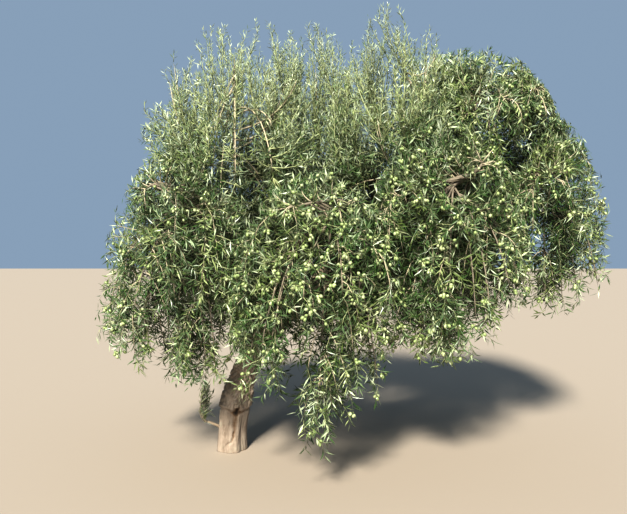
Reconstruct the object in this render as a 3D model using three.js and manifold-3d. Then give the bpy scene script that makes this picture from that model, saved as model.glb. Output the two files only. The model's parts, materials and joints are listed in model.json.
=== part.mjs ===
// An orchard olive tree in fruit: a short leaning trunk, boughs that arch away from its fork,
// skirts of weeping foliage hung with green olives, and upright shoots along the top.
// Millimetres. +Z is up, +X is to the right of someone facing the tree, +Y is away from them.
// The origin is the middle of the flat cut under the trunk, at ground level.
//
// The trunk and each bough are tapering limbs. Each mass of foliage is one solid that grows from
// the tip of its bough by a seeded rule: a stem, branches off the stem, and leaves and fruit on
// the branches. A leaf here stands for a spray of real leaves, and a fruit for a small cluster.
// Every mass keeps to a space of its own, so no two of them meet.

import * as THREE from "three";
import { mergeVertices } from "three/addons/utils/BufferGeometryUtils.js";
import Module from "manifold-3d";

const wasm = await Module();
wasm.setup();

// Gaps
const CLEARANCE = 0.3; // between a bough and the limb or stem that it meets
const LIMB_MARGIN = 5; // between a limb and any leaf or branch beside it
const WALL_MARGIN = 12; // between a leaf or branch and the wall of its mass's space
const ENTRY_MARGIN = 80; // how far a bough runs into the space of its mass
const TIP_MARGIN = 70; // how far a shoot keeps from the wall of its mass's space

// The trunk
const TRUNK = {
  name: "trunk",
  height: 800, // to the crotch between the boughs
  footRadius: 108,
  neckRadius: 92,
  flare: 4, // how far the root flare stands out at ground level
  flareHeight: 50,
  flareLobes: 0.5, // how much further it stands out on the lobes
  lean: 195, // how far the crotch lies to the right of the foot
  leanPower: 2.4, // the trunk stands nearly upright at the foot and leans more and more above
  lobes: 5,
  lobeDepth: 0.06, // of the radius
  collar: 16, // how far the rough swelling of old pruning cuts stands out
  collarHeight: 400,
  collarSpread: 140,
  crown: 70, // the height over which the top rounds off
  crownRounding: 0.8, // how far in it rounds
  sides: 16,
  steps: 9,
  points: 5, // stretches of its middle line between points
};

// Boughs, stems and branches
const BOUGH_SIDES = 7;
const BOUGH_STEPS = 5;
const BOUGH_OUT = 0.38; // where a bough bends, as a share of the way out
const BOUGH_RISE = 0.72; // and of the way up
const STEM_SIDES = 4;
const STEM_STEPS = 4;
const STEM_SHARE = 0.9; // of the radius of the bough's tip
const STEM_END_RADIUS = 8;
const BRANCH_SIDES = 3;
const BRANCH_STEPS = 4;
const BRANCH_RADIUS = 8;
const BRANCH_END_RADIUS = 6;
const LIMB_POINTS = 24; // where a limb is tested for what comes near it
const STEEP = 0.9; // of a heading that has no level direction square to it
const TOUCHING = 1e-3; // corners nearer than this are one corner
const GOLDEN_ANGLE = THREE.MathUtils.degToRad(137.50776);
const GOLDEN_SHARE = 0.61803399; // spreads shares evenly, however many are drawn
const SECOND_SHARE = 0.75487767;

// How the rule lays out boughs, stems and branches, in shares
const ENTRY_DRAWN_IN = 0.05; // of the way to the mass's middle, at each try
const STEM_STRAIGHT = 0.45; // how far a stem runs straight on, of its dome's height
const SHORTEST_STEM = 0.3; // of the way to its goal
const STEM_SHORTENED = 0.05; // of that way, at each try
const FIRST_BRANCH = 0.05; // of the stem's length
const LAST_BRANCH = 0.95;
const BRANCH_WANDER = 0.4; // radians that a branch's way round may stray
const BRANCH_BEND = 0.15; // how far back from its end a branch bends
const HANGING_RISE = 0.12; // how far a hanging branch first rises, of its dome's height
const CLIMBING_RISE = 0.3; // how far up a climbing branch bends, of its climb
const BRANCH_TRIES = 25;
const BEND_DRAWN_IN = 0.05; // of the way to the mass's middle, at each try
const END_DRAWN_IN = 0.03;

// A leaf and a fruit, both larger than life
const LEAF = {
  length: 460,
  width: 165,
  thickness: 11,
  widest: 0.42, // where it is widest, as a share of its length
  sink: 4, // how far its root goes past the middle of its shoot
  root: 60, // how near its root it may still touch its shoot
  spread: 0.8, // how far it stands off its shoot
  raised: 0.5, // how far its face is turned up from straight outward
  turned: 0.9, // how far it is turned from there round its shoot
};
const LEAVES_PER_BRANCH = 6;
const LEAVES_PER_STEM = 2;
const FIRST_LEAF = 0.1; // shares of a branch's length
const LAST_LEAF = 0.95;
const LEAF_TWIST = Math.PI + GOLDEN_ANGLE / 4; // round the shoot, from one leaf to the next
const LEAF_TURNS = [0, 60, -60, 120, -120, 180].map(THREE.MathUtils.degToRad);
const LEAF_SIZES = [1.2, 1, 0.8];
const FRUIT = { width: 40, length: 54, hang: 0.42 }; // hang: how far below its shoot, of its length
const FRUIT_SHARES = [0.62, 0.85]; // where a branch bears it, of the branch's length

// The masses of foliage. A mass's space is a dome over a shallow bowl: `centre` is the middle of
// their shared rim, `radius` its half widths along X and Y, `up` and `down` the heights of dome
// and bowl. Its bough comes in at `side`, degrees round from +X, `inset` of the radius from the
// middle and `entry` of the dome's height up, or of the bowl's depth down where it is negative.
// The stem's tip is `over` of the radius beyond the middle and `top` of the dome's height up.
// Its branches end all round the space, from `lowest` to `highest` of the heights. `scale` sizes
// its shoots and leaves. The last branch of a mass ends at `trailing` where that is given.
const SKIRT = {
  inset: 0.45, entry: 0.66, over: 0.5, top: 0.72, lowest: -0.9, highest: 0.85, branches: 8, scale: 1,
  young: false, trailing: null,
};
const SHOOTS = {
  inset: 0, entry: -0.55, over: 0, top: 0.7, lowest: -0.5, highest: 0.99, branches: 8, scale: 1,
  young: true, side: 180, fruit: 0, trailing: null,
};
const MASSES = [
  {
    ...SKIRT, name: "left_skirt", centre: [-240, -400, 980], radius: [640, 620], up: 1330, down: 430,
    side: 40, fruit: 1,
  },
  {
    ...SKIRT, name: "front_skirt", centre: [620, -860, 1000], radius: [560, 480], up: 1120, down: 970,
    side: 62, fruit: 5, lowest: -0.5, trailing: [670, -1000, 320],
  },
  {
    ...SKIRT, name: "front_right_skirt", centre: [1480, -620, 1250], radius: [600, 580], up: 1180, down: 520,
    side: 140, fruit: 4,
  },
  {
    ...SKIRT, name: "right_end_skirt", centre: [2210, -20, 1400], radius: [650, 650], up: 1250, down: 420,
    side: 180, fruit: 3, entry: 0.45,
  },
  {
    ...SKIRT, name: "right_crown", centre: [1820, 20, 2250], radius: [680, 640], up: 820, down: 500,
    side: 185, fruit: 2, inset: 0.6, entry: 0.05,
  },
  { ...SHOOTS, name: "left_shoots", centre: [40, -60, 2000], radius: [740, 640], up: 1400, down: 650 },
  { ...SHOOTS, name: "middle_shoots", centre: [700, 300, 2000], radius: [640, 640], up: 1420, down: 700 },
  { ...SHOOTS, name: "right_shoots", centre: [1230, -100, 2050], radius: [560, 640], up: 1330, down: 600 },
  {
    ...SKIRT, name: "back_left_skirt", centre: [-120, 680, 1150], radius: [660, 640], up: 1150, down: 480,
    side: 300, fruit: 2, branches: 7,
  },
  {
    ...SKIRT, name: "back_skirt", centre: [800, 1050, 1120], radius: [600, 520], up: 1180, down: 520,
    side: 250, fruit: 3,
  },
  {
    ...SKIRT, name: "back_right_skirt", centre: [1650, 800, 1300], radius: [640, 620], up: 1180, down: 480,
    side: 220, fruit: 3, branches: 7,
  },
  {
    ...SHOOTS, name: "basal_shoot", centre: [-172, -80, 330], radius: [78, 78], up: 260, down: 200,
    entry: -0.5, branches: 2, scale: 0.24, young: false,
  },
];

// The boughs, in the order in which they join. `at` is the share of the parent's length where a
// bough leaves it, and `carries` the mass whose foliage grows from its tip.
const BOUGHS = [
  { name: "bough_right", parent: "trunk", at: 0.86, base: 66, tip: 19, carries: "right_end_skirt" },
  { name: "bough_left", parent: "trunk", at: 0.84, base: 50, tip: 17, carries: "left_skirt" },
  { name: "bough_back", parent: "trunk", at: 0.8, base: 50, tip: 17, carries: "back_skirt" },
  { name: "bough_leader", parent: "trunk", at: 0.9, base: 48, tip: 17, carries: "middle_shoots" },
  { name: "bough_front", parent: "trunk", at: 0.78, base: 46, tip: 17, carries: "front_skirt" },
  { name: "bough_to_front", parent: "bough_right", at: 0.4, base: 36, tip: 16, carries: "front_right_skirt" },
  { name: "bough_to_crown", parent: "bough_right", at: 0.62, base: 32, tip: 16, carries: "right_crown" },
  { name: "bough_to_back", parent: "bough_right", at: 0.3, base: 36, tip: 16, carries: "back_right_skirt" },
  { name: "bough_back_left", parent: "bough_back", at: 0.3, base: 36, tip: 16, carries: "back_left_skirt" },
  { name: "bough_left_rise", parent: "bough_left", at: 0.45, base: 28, tip: 15, carries: "left_shoots" },
  { name: "bough_right_rise", parent: "bough_right", at: 0.5, base: 28, tip: 15, carries: "right_shoots" },
  { name: "basal_spur", parent: "trunk", at: 0.1, base: 16, tip: 9, carries: "basal_shoot" },
];

const BARK = new THREE.MeshStandardMaterial({ color: 0x9a8468, roughness: 0.95, metalness: 0 });
const FOLIAGE = new THREE.MeshStandardMaterial({ color: 0x5c6e3c, roughness: 0.6, metalness: 0 });
const YOUNG_FOLIAGE = new THREE.MeshStandardMaterial({ color: 0x8c9a63, roughness: 0.6, metalness: 0 });

const UP = new THREE.Vector3(0, 0, 1);
const EAST = new THREE.Vector3(1, 0, 0);
const share = (n, step) => (n * step) % 1;
const masses = new Map(
  MASSES.map((mass, i) => [mass.name, { ...mass, centre: new THREE.Vector3(...mass.centre), seed: i + 1 }]),
);

// A seeded stream of numbers from 0 to 1. The keys pick the stream: the mass, then the branch.
function stream(...keys) {
  let state = keys.reduce((sum, key) => (Math.imul(sum, 31) + key + 1) >>> 0, 7);
  return () => {
    state = (state + 0x6d2b79f5) >>> 0;
    let mixed = Math.imul(state ^ (state >>> 15), state | 1);
    mixed = (mixed + Math.imul(mixed ^ (mixed >>> 7), mixed | 61)) ^ mixed;
    return ((mixed ^ (mixed >>> 14)) >>> 0) / 4294967296;
  };
}

// A closed manifold solid of a three.js geometry.
function solidOf(geometry) {
  const bare = geometry.clone();
  bare.deleteAttribute("normal");
  bare.deleteAttribute("uv");
  const merged = mergeVertices(bare, TOUCHING);
  return new wasm.Manifold(
    new wasm.Mesh({
      numProp: 3,
      vertProperties: merged.attributes.position.array,
      triVerts: new Uint32Array(merged.index.array),
    }),
  );
}

// The largest piece of a solid. Loose scraps go, and so do hollows that joining has sealed.
function mainPiece(solid) {
  return solid.decompose().reduce((most, piece) => (piece.volume() > most.volume() ? piece : most));
}

function geometryOf(solid) {
  const { vertProperties, triVerts } = solid.getMesh();
  const geometry = new THREE.BufferGeometry();
  geometry.setAttribute("position", new THREE.BufferAttribute(new Float32Array(vertProperties), 3));
  geometry.setIndex(new THREE.BufferAttribute(new Uint32Array(triVerts), 1));
  const flat = geometry.toNonIndexed();
  flat.computeVertexNormals();
  return flat;
}

// A tube along a curve: the rings of an upright cylinder are carried onto it, each with the
// radius that radiusAt gives at its share of the curve's length.
function tubeGeometry(curve, sides, steps, radiusAt) {
  const geometry = new THREE.CylinderGeometry(1, 1, 1, sides, steps);
  const { normals, binormals } = curve.computeFrenetFrames(steps, false);
  const position = geometry.attributes.position;
  for (let i = 0; i < position.count; i++) {
    const ring = Math.round((position.getY(i) + 0.5) * steps);
    const radius = radiusAt(ring / steps);
    const moved = curve
      .getPointAt(ring / steps)
      .addScaledVector(normals[ring], position.getX(i) * radius)
      .addScaledVector(binormals[ring], -position.getZ(i) * radius);
    position.setXYZ(i, moved.x, moved.y, moved.z);
  }
  return geometry;
}

// A tube's middle line is straight from ring to ring, so what grows on it starts from there.
function placeOn(curve, steps, along) {
  const ring = Math.min(Math.floor(along * steps), steps - 1);
  const from = curve.getPointAt(ring / steps);
  const to = curve.getPointAt((ring + 1) / steps);
  return { at: from.clone().lerp(to, along * steps - ring), heading: to.sub(from).normalize() };
}

const taperFrom = (base, tip) => (t) => base + (tip - base) * t;

// Level rings that lean, flare at the foot, are lobed all the way up and round off at the top.
function trunkGeometry(grow = 0) {
  const geometry = new THREE.CylinderGeometry(1, 1, 1, TRUNK.sides, TRUNK.steps);
  const position = geometry.attributes.position;
  for (let i = 0; i < position.count; i++) {
    const t = position.getY(i) + 0.5;
    const z = t * (TRUNK.height + TRUNK.crown);
    const angle = Math.atan2(-position.getZ(i), position.getX(i));
    const onRim = Math.hypot(position.getX(i), position.getZ(i)) > 0.5;
    const radius = onRim ? trunkRadius(z, angle) + grow : 0;
    const middle = trunkCentre(z);
    const top = t === 1 ? grow : 0;
    position.setXYZ(i, middle.x + radius * Math.cos(angle), middle.y + radius * Math.sin(angle), z + top);
  }
  return geometry;
}

function trunkCentre(z) {
  return new THREE.Vector3(TRUNK.lean * Math.min(z / TRUNK.height, 1) ** TRUNK.leanPower, 0, z);
}

function trunkRadius(z, angle) {
  const taper = THREE.MathUtils.lerp(TRUNK.footRadius, TRUNK.neckRadius, Math.min(z / TRUNK.height, 1));
  const lobe = Math.cos(TRUNK.lobes * angle + z / TRUNK.height);
  const foot = TRUNK.flare * Math.exp(-z / TRUNK.flareHeight) * (1 + TRUNK.flareLobes * lobe);
  const collar = TRUNK.collar * Math.exp(-(((z - TRUNK.collarHeight) / TRUNK.collarSpread) ** 2));
  const past = Math.max(0, (z - TRUNK.height + TRUNK.crown) / (2 * TRUNK.crown));
  const rounding = Math.sqrt(1 - TRUNK.crownRounding * past * past);
  return (taper * (1 + TRUNK.lobeDepth * lobe) + foot + collar) * rounding;
}

function trunkCurve() {
  const pointAt = (_, i) => trunkCentre((i / TRUNK.points) * TRUNK.height);
  return new THREE.CatmullRomCurve3(Array.from({ length: TRUNK.points + 1 }, pointAt));
}

const trunk = {
  name: TRUNK.name,
  curve: trunkCurve(),
  radiusAt: (t) => trunkRadius(t * TRUNK.height, 0),
  geometry: trunkGeometry,
};

// The way from a mass's middle to its bough, level and one unit long.
function inward(mass) {
  const side = THREE.MathUtils.degToRad(mass.side);
  return new THREE.Vector3(Math.cos(side), Math.sin(side), 0);
}

// Where a mass's bough ends, drawn in towards the mass's middle until it lies well inside.
function entryOf(mass) {
  const entry = mass.centre.clone().addScaledVector(inward(mass), mass.inset * mass.radius[0]);
  entry.z += mass.entry * (mass.entry > 0 ? mass.up : mass.down);
  while (!inSpace(mass, entry, ENTRY_MARGIN)) entry.lerp(mass.centre, ENTRY_DRAWN_IN);
  return entry;
}

function boughLimb({ name, parent, at, base, tip, carries }, limbs) {
  const start = limbs.get(parent).curve.getPoint(at);
  const end = entryOf(masses.get(carries));
  const bend = start.clone().lerp(end, BOUGH_OUT);
  bend.z = THREE.MathUtils.lerp(start.z, end.z, BOUGH_RISE);
  const curve = new THREE.QuadraticBezierCurve3(start, bend, end);
  const radiusAt = taperFrom(base, tip);
  const geometry = (grow = 0) => tubeGeometry(curve, BOUGH_SIDES, BOUGH_STEPS, (t) => radiusAt(t) + grow);
  return { name, curve, radiusAt, geometry, carries };
}

function makeLimbs() {
  const limbs = new Map([[trunk.name, trunk]]);
  for (const bough of BOUGHS) limbs.set(bough.name, boughLimb(bough, limbs));
  for (const limb of limbs.values()) {
    const shares = Array.from({ length: LIMB_POINTS + 1 }, (_, i) => i / LIMB_POINTS);
    limb.points = shares.map((t) => ({ at: limb.curve.getPointAt(t), radius: limb.radiusAt(t) }));
    limb.around = boxed(limb.geometry(LIMB_MARGIN));
  }
  return limbs;
}

// Each limb is cut clear of every limb made before it.
function limbSolids(limbs) {
  const made = new Map();
  const cutters = [];
  for (const limb of limbs.values()) {
    const whole = solidOf(limb.geometry());
    made.set(limb.name, mainPiece(cutters.reduce((solid, cutter) => solid.subtract(cutter), whole)));
    cutters.push(solidOf(limb.geometry(CLEARANCE)));
  }
  return made;
}

// How deep a point lies in a mass's dome or bowl: 0 at its middle, 1 on its surface.
function depthIn(mass, p) {
  const { x, y, z } = p.clone().sub(mass.centre);
  return Math.hypot(x / mass.radius[0], y / mass.radius[1], z / (z > 0 ? mass.up : mass.down));
}

// A point belongs to the mass that it is deepest in. A margin keeps it off that space's walls.
function inSpace(mass, p, margin) {
  const depth = depthIn(mass, p) + (margin * mass.scale) / Math.min(...mass.radius);
  return depth < 1 && [...masses.values()].every((other) => other === mass || depthIn(other, p) > depth);
}

// Whether a bent shoot stays clear of the limbs and far enough inside its mass's space to leave
// room for the leaves at its tip.
function shootFits(mass, curve, radius, limbs) {
  const points = curve.getPoints(2 * BRANCH_STEPS).slice(1);
  return points.every((p) => inSpace(mass, p, TIP_MARGIN) && clearOf(p, radius, limbs));
}

function clearOf(p, radius, limbs) {
  const clear = (q) => q.at.distanceTo(p) > q.radius + radius + LIMB_MARGIN;
  return limbs.every((limb) => limb.points.every(clear));
}

// The stem goes straight on from its bough's tip, then over the top of a dome, or up through a
// mass of shoots. Its reach is drawn in until it fits.
function stemCurve(mass, bough, limbs) {
  const heading = bough.curve.getTangent(1);
  const start = bough.curve.getPoint(1).addScaledVector(heading, CLEARANCE);
  const goal = mass.centre.clone().addScaledVector(inward(mass), -mass.over * mass.radius[0]);
  goal.z += mass.top * mass.up;
  for (let reach = 1; reach > SHORTEST_STEM; reach -= STEM_SHORTENED) {
    const bend = start.clone().addScaledVector(heading, STEM_STRAIGHT * reach * mass.up);
    const curve = new THREE.QuadraticBezierCurve3(start, bend, start.clone().lerp(goal, reach));
    if (shootFits(mass, curve, mass.scale * STEM_END_RADIUS, limbs)) return curve;
  }
  throw new Error(`no room for the stem of ${mass.name}`);
}

// Branch n of a mass leaves the stem at a share of its length and ends on the space's surface, its
// own way round. It arches over and hangs where its end is lower than its start, and climbs where
// it is higher. Its bend and end are drawn in towards the mass's middle until it fits.
function branchCurve(mass, stem, n, limbs) {
  const random = stream(mass.seed, n);
  const round = n * GOLDEN_ANGLE + mass.seed + BRANCH_WANDER * (random() - 0.5);
  const tall = THREE.MathUtils.lerp(mass.lowest, mass.highest, share(n + 1, SECOND_SHARE));
  const out = Math.sqrt(1 - tall * tall);
  const along = THREE.MathUtils.lerp(FIRST_BRANCH, LAST_BRANCH, share(n + 1, GOLDEN_SHARE));
  const start = placeOn(stem, STEM_STEPS, along).at;
  const end = mass.centre.clone();
  end.x += out * mass.radius[0] * Math.cos(round);
  end.y += out * mass.radius[1] * Math.sin(round);
  end.z += tall * (tall > 0 ? mass.up : mass.down);
  if (mass.trailing && n === mass.branches - 1) end.set(...mass.trailing);
  const bend = end.clone().lerp(start, BRANCH_BEND);
  const climbing = THREE.MathUtils.lerp(start.z, end.z, CLIMBING_RISE);
  bend.z = end.z < start.z ? start.z + HANGING_RISE * mass.up : climbing;
  for (let tried = 0; tried < BRANCH_TRIES; tried++) {
    const curve = new THREE.QuadraticBezierCurve3(start, bend.clone(), end.clone());
    if (shootFits(mass, curve, mass.scale * BRANCH_RADIUS, limbs)) return curve;
    bend.lerp(mass.centre, BEND_DRAWN_IN);
    end.lerp(mass.centre, END_DRAWN_IN);
  }
  return null;
}

// A direction square to the heading, turned round it by an angle.
function sideways(heading, angle) {
  const level = Math.abs(heading.z) > STEEP ? EAST : UP;
  return new THREE.Vector3().crossVectors(heading, level).normalize().applyAxisAngle(heading, angle);
}

// A leaf blade of eight faces with its root sunk in the twig at `at`. It points along `way` and
// turns its face as near to `facing` as it can.
function leafGeometry(at, way, facing, size) {
  const blade = new THREE.OctahedronGeometry(0.5, 0).scale(LEAF.width, LEAF.length, LEAF.thickness);
  const position = blade.attributes.position;
  for (let i = 0; i < position.count; i++) {
    const y = position.getY(i);
    position.setY(i, y === 0 ? LEAF.widest * LEAF.length : y + LEAF.length / 2);
  }
  blade.translate(0, -LEAF.sink, 0).scale(size, size, size);
  const across = new THREE.Vector3().crossVectors(way, facing).normalize();
  const upright = new THREE.Vector3().crossVectors(across, way);
  return blade.applyMatrix4(new THREE.Matrix4().makeBasis(across, way, upright).setPosition(at));
}

// What grows on a shoot has to keep to its mass's space, clear of the limbs and of what is there.
function fits(mass, { geometry, solid, box }, limbs, taken) {
  if (!edgePoints(geometry).every((p) => inSpace(mass, p, WALL_MARGIN))) return false;
  const meets = (other) => other.box.intersectsBox(box) && !other.solid.intersect(solid).isEmpty();
  return !limbs.some((limb) => meets(limb.around)) && !taken.some(meets);
}

// The corners of a geometry and the middles of its edges.
function edgePoints(geometry) {
  const position = geometry.attributes.position;
  const cornerAt = (_, i) => new THREE.Vector3().fromBufferAttribute(position, i);
  const corners = Array.from({ length: position.count }, cornerAt);
  const middles = corners.map((corner, i) => corner.clone().lerp(corners[i % 3 === 2 ? i - 2 : i + 1], 0.5));
  return [...corners, ...middles];
}

function boxed(geometry) {
  geometry.computeBoundingBox();
  return { geometry, solid: solidOf(geometry), box: geometry.boundingBox };
}

// A leaf on a shoot. It is turned round the shoot, then made smaller, until it fits.
function leafOn(mass, shoot, along, turn, limbs, taken) {
  const { at, heading } = placeOn(shoot.curve, shoot.steps, along);
  const outward = at.clone().sub(mass.centre).normalize().addScaledVector(UP, LEAF.raised);
  const facing = outward.addScaledVector(sideways(heading, turn), LEAF.turned).normalize();
  const near = mass.scale * LEAF.root;
  for (const size of LEAF_SIZES) {
    for (const more of LEAF_TURNS) {
      const way = heading.clone().addScaledVector(sideways(heading, turn + more), LEAF.spread).normalize();
      const leaf = boxed(leafGeometry(at, way, facing, mass.scale * size));
      if (fits(mass, leaf, limbs, taken) && meetsOnlyNear(at, near, shoot.solid, leaf.solid)) return leaf;
    }
  }
  return null;
}

// Whether a leaf meets its own shoot near its root and nowhere else.
function meetsOnlyNear(at, root, shoot, leaf) {
  const { min, max } = shoot.intersect(leaf).boundingBox();
  return [min, max].every((corner) => at.distanceTo(new THREE.Vector3(...corner)) < root);
}

function fruitOn(mass, shoot, along, limbs, taken) {
  const { at } = placeOn(shoot.curve, shoot.steps, along);
  const olive = new THREE.IcosahedronGeometry(0.5, 0).scale(FRUIT.width, FRUIT.width, FRUIT.length);
  const fruit = boxed(olive.translate(at.x, at.y, at.z - FRUIT.hang * FRUIT.length));
  return fits(mass, fruit, limbs, taken) ? fruit : null;
}

function stemShoot(mass, bough, others) {
  const curve = stemCurve(mass, bough, others);
  const taper = taperFrom(STEM_SHARE * bough.radiusAt(1), mass.scale * STEM_END_RADIUS);
  return { curve, steps: STEM_STEPS, ...boxed(tubeGeometry(curve, STEM_SIDES, STEM_STEPS, taper)) };
}

function branchShoot(mass, stem, n, limbs) {
  const curve = branchCurve(mass, stem.curve, n, limbs);
  if (!curve) return [];
  const taper = taperFrom(mass.scale * BRANCH_RADIUS, mass.scale * BRANCH_END_RADIUS);
  return [{ curve, steps: BRANCH_STEPS, ...boxed(tubeGeometry(curve, BRANCH_SIDES, BRANCH_STEPS, taper)) }];
}

// One mass: its stem, branches, leaves and fruit, joined into one solid.
function massSolid(mass, bough, limbs) {
  const stem = stemShoot(mass, bough, limbs.filter((limb) => limb !== bough));
  const shoots = [stem];
  for (let n = 0; n < mass.branches; n++) shoots.push(...branchShoot(mass, stem, n, limbs));
  const grown = [];
  const grow = (shoot, make) => {
    const taken = [...shoots.filter((other) => other !== shoot), ...grown];
    const made = make(taken);
    if (made) grown.push(made);
  };
  shoots.forEach((shoot, n) => {
    const leaves = n === 0 ? LEAVES_PER_STEM : LEAVES_PER_BRANCH;
    for (let k = 0; k < leaves; k++) {
      const along = THREE.MathUtils.lerp(LAST_LEAF, FIRST_LEAF, k / leaves);
      grow(shoot, (taken) => leafOn(mass, shoot, along, n + k * LEAF_TWIST, limbs, taken));
    }
    const fruitAt = FRUIT_SHARES[n % FRUIT_SHARES.length];
    if (n > 0 && n <= mass.fruit) grow(shoot, (taken) => fruitOn(mass, shoot, fruitAt, limbs, taken));
  });
  return mainPiece(wasm.Manifold.union([...shoots, ...grown].map(({ solid }) => solid)));
}

function part() {
  const tree = new THREE.Group();
  const add = (name, solid, material) => {
    const mesh = new THREE.Mesh(geometryOf(solid), material);
    mesh.name = name;
    tree.add(mesh);
  };
  const limbs = makeLimbs();
  for (const [name, solid] of limbSolids(limbs)) add(name, solid, BARK);
  for (const limb of limbs.values()) {
    if (!limb.carries) continue;
    const mass = masses.get(limb.carries);
    add(mass.name, massSolid(mass, limb, [...limbs.values()]), mass.young ? YOUNG_FOLIAGE : FOLIAGE);
  }
  return tree;
}

export default part();
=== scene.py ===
"""The looks of an orchard olive tree in fruit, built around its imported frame.

Metres. +Z is up, +X is to the right of someone facing the tree and +Y is away from them. The
origin is the middle of the flat cut under the trunk, at ground level.

The tree grows by one seeded rule. Boughs arch away from the fork of a leaning trunk. From the tip
of each one grows a mass of foliage that keeps to a space of its own: a stem, branches off the
stem, twigs off the branches, leafy shoots off the twigs, then leaves in pairs and green olives.
"""
import json
import logging
import math
from collections.abc import Callable
from dataclasses import dataclass, field, replace
from enum import Enum

import bmesh
import bpy
import numpy as np
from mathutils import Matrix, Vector, noise

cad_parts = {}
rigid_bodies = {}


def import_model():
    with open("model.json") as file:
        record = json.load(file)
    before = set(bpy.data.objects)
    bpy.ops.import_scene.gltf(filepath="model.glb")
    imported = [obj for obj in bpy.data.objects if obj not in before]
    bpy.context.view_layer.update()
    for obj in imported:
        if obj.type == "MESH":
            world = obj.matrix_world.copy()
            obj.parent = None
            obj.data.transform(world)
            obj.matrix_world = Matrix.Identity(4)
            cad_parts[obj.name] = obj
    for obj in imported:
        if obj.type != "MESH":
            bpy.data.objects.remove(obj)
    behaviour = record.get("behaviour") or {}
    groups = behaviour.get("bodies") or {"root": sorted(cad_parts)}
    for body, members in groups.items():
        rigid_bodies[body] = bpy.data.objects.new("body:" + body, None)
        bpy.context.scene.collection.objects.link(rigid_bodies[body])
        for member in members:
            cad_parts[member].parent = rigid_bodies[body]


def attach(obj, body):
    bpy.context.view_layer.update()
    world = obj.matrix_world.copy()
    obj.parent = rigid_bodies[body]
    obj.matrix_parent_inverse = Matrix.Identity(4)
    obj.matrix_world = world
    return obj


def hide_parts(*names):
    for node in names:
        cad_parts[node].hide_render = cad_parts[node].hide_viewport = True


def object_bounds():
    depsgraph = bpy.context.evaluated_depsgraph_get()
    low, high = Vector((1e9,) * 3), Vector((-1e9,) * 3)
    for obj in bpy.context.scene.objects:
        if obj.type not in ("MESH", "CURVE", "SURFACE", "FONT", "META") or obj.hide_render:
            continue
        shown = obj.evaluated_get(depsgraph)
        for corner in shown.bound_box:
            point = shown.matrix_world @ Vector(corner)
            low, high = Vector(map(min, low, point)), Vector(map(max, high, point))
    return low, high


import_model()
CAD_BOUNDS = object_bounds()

log = logging.getLogger("olive_tree")

Array = np.ndarray
Colour = tuple[float, float, float]
Material = bpy.types.Material
Socket = bpy.types.NodeSocket
Tree = bpy.types.NodeTree
MeshArrays = tuple[Array, Array, Array, Array]  # points, faces' corners, corner counts, material numbers

UP = np.array((0.0, 0.0, 1.0))
UP_WAY = Vector(UP)
EAST = np.array((1.0, 0.0, 0.0))
GOLDEN_ANGLE = math.radians(137.50776)
GOLDEN_SHARE = 0.61803399  # spreads shares evenly, however many are drawn
SECOND_SHARE = 0.75487767
SPREAD_SHARES = np.array((0.81917251, 0.67104360, 0.54970047))  # spread points evenly through a box
LIMB_CLEARANCE = 0.005  # between a limb and any leaf or shoot beside it
NOISE_SEED = 1  # for Blender's noise vectors, which are drawn by the clock if they have no seed


class Habit(Enum):
    """How a mass of foliage grows."""

    WEEPING = "weeping"
    UPRIGHT = "upright"
    BASAL = "basal"


def share(n: Array | int, step: float) -> Array | float:
    """Returns the n-th of a row of shares that spread evenly from 0 to 1."""
    return (n * step) % 1


def mix(a: Array | float, b: Array | float, t: Array | float) -> Array | float:
    """Returns the value a share t of the way from a to b."""
    return a + (b - a) * t


def unit(vectors: Array) -> Array:
    """Returns vectors scaled to a length of one."""
    lengths = np.linalg.norm(vectors, axis=-1, keepdims=True)
    return vectors / np.maximum(lengths, 1e-9)


def stream(*keys: int) -> Callable[[], float]:
    """Makes a seeded stream of numbers from 0 to 1.

    Args:
        keys: Whole numbers that pick the stream: the mass, then the branch.

    Returns:
        A function that gives the next number at each call.
    """
    low_bits = 0xFFFFFFFF
    state = 7
    for key in keys:
        state = (state * 31 + key + 1) & low_bits

    def draw() -> float:
        """Returns the next number."""
        nonlocal state
        state = (state + 0x6D2B79F5) & low_bits
        mixed = ((state ^ (state >> 15)) * (state | 1)) & low_bits
        mixed ^= (mixed + (((mixed ^ (mixed >> 7)) * (mixed | 61)) & low_bits)) & low_bits
        return (mixed ^ (mixed >> 14)) / 4294967296

    return draw


def arc(bends: Array, along: Array) -> Array:
    """Gives points on bent shoots, each one a quadratic curve.

    Args:
        bends: Start, bend and end of each shoot, shaped (..., 3, 3).
        along: Shares of the curve, in a shape that broadcasts to (...,).

    Returns:
        The points, shaped (..., 3).
    """
    t = np.asarray(along)[..., None]
    start, bend, end = bends[..., 0, :], bends[..., 1, :], bends[..., 2, :]
    return (1 - t) ** 2 * start + 2 * t * (1 - t) * bend + t**2 * end


def heading(bends: Array, along: Array) -> Array:
    """Gives the directions of bent shoots at shares of their curves, as arc gives the points."""
    t = np.asarray(along)[..., None]
    start, bend, end = bends[..., 0, :], bends[..., 1, :], bends[..., 2, :]
    return unit((1 - t) * (bend - start) + t * (end - bend))


def lengths(bends: Array) -> Array:
    """Returns the length of each bent shoot, measured on a few chords."""
    steps = np.linspace(0, 1, 7)
    points = arc(bends[..., None, :, :], steps)
    return np.linalg.norm(np.diff(points, axis=-2), axis=-1).sum(axis=-1)


def later_part(bends: Array, first: float) -> Array:
    """Returns what is left of bent shoots after a share of each, bent the same way."""
    kept = mix(bends[:, 1], bends[:, 2], first)
    return np.stack([arc(bends, first), kept, bends[:, 2]], axis=1)


def square_to(ways: Array) -> tuple[Array, Array]:
    """Gives two directions square to each way and to each other, the first of them level."""
    steep = np.abs(ways[..., 2:3]) > 0.95
    first = unit(np.cross(ways, np.where(steep, EAST, UP)))
    return first, np.cross(ways, first)


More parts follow.
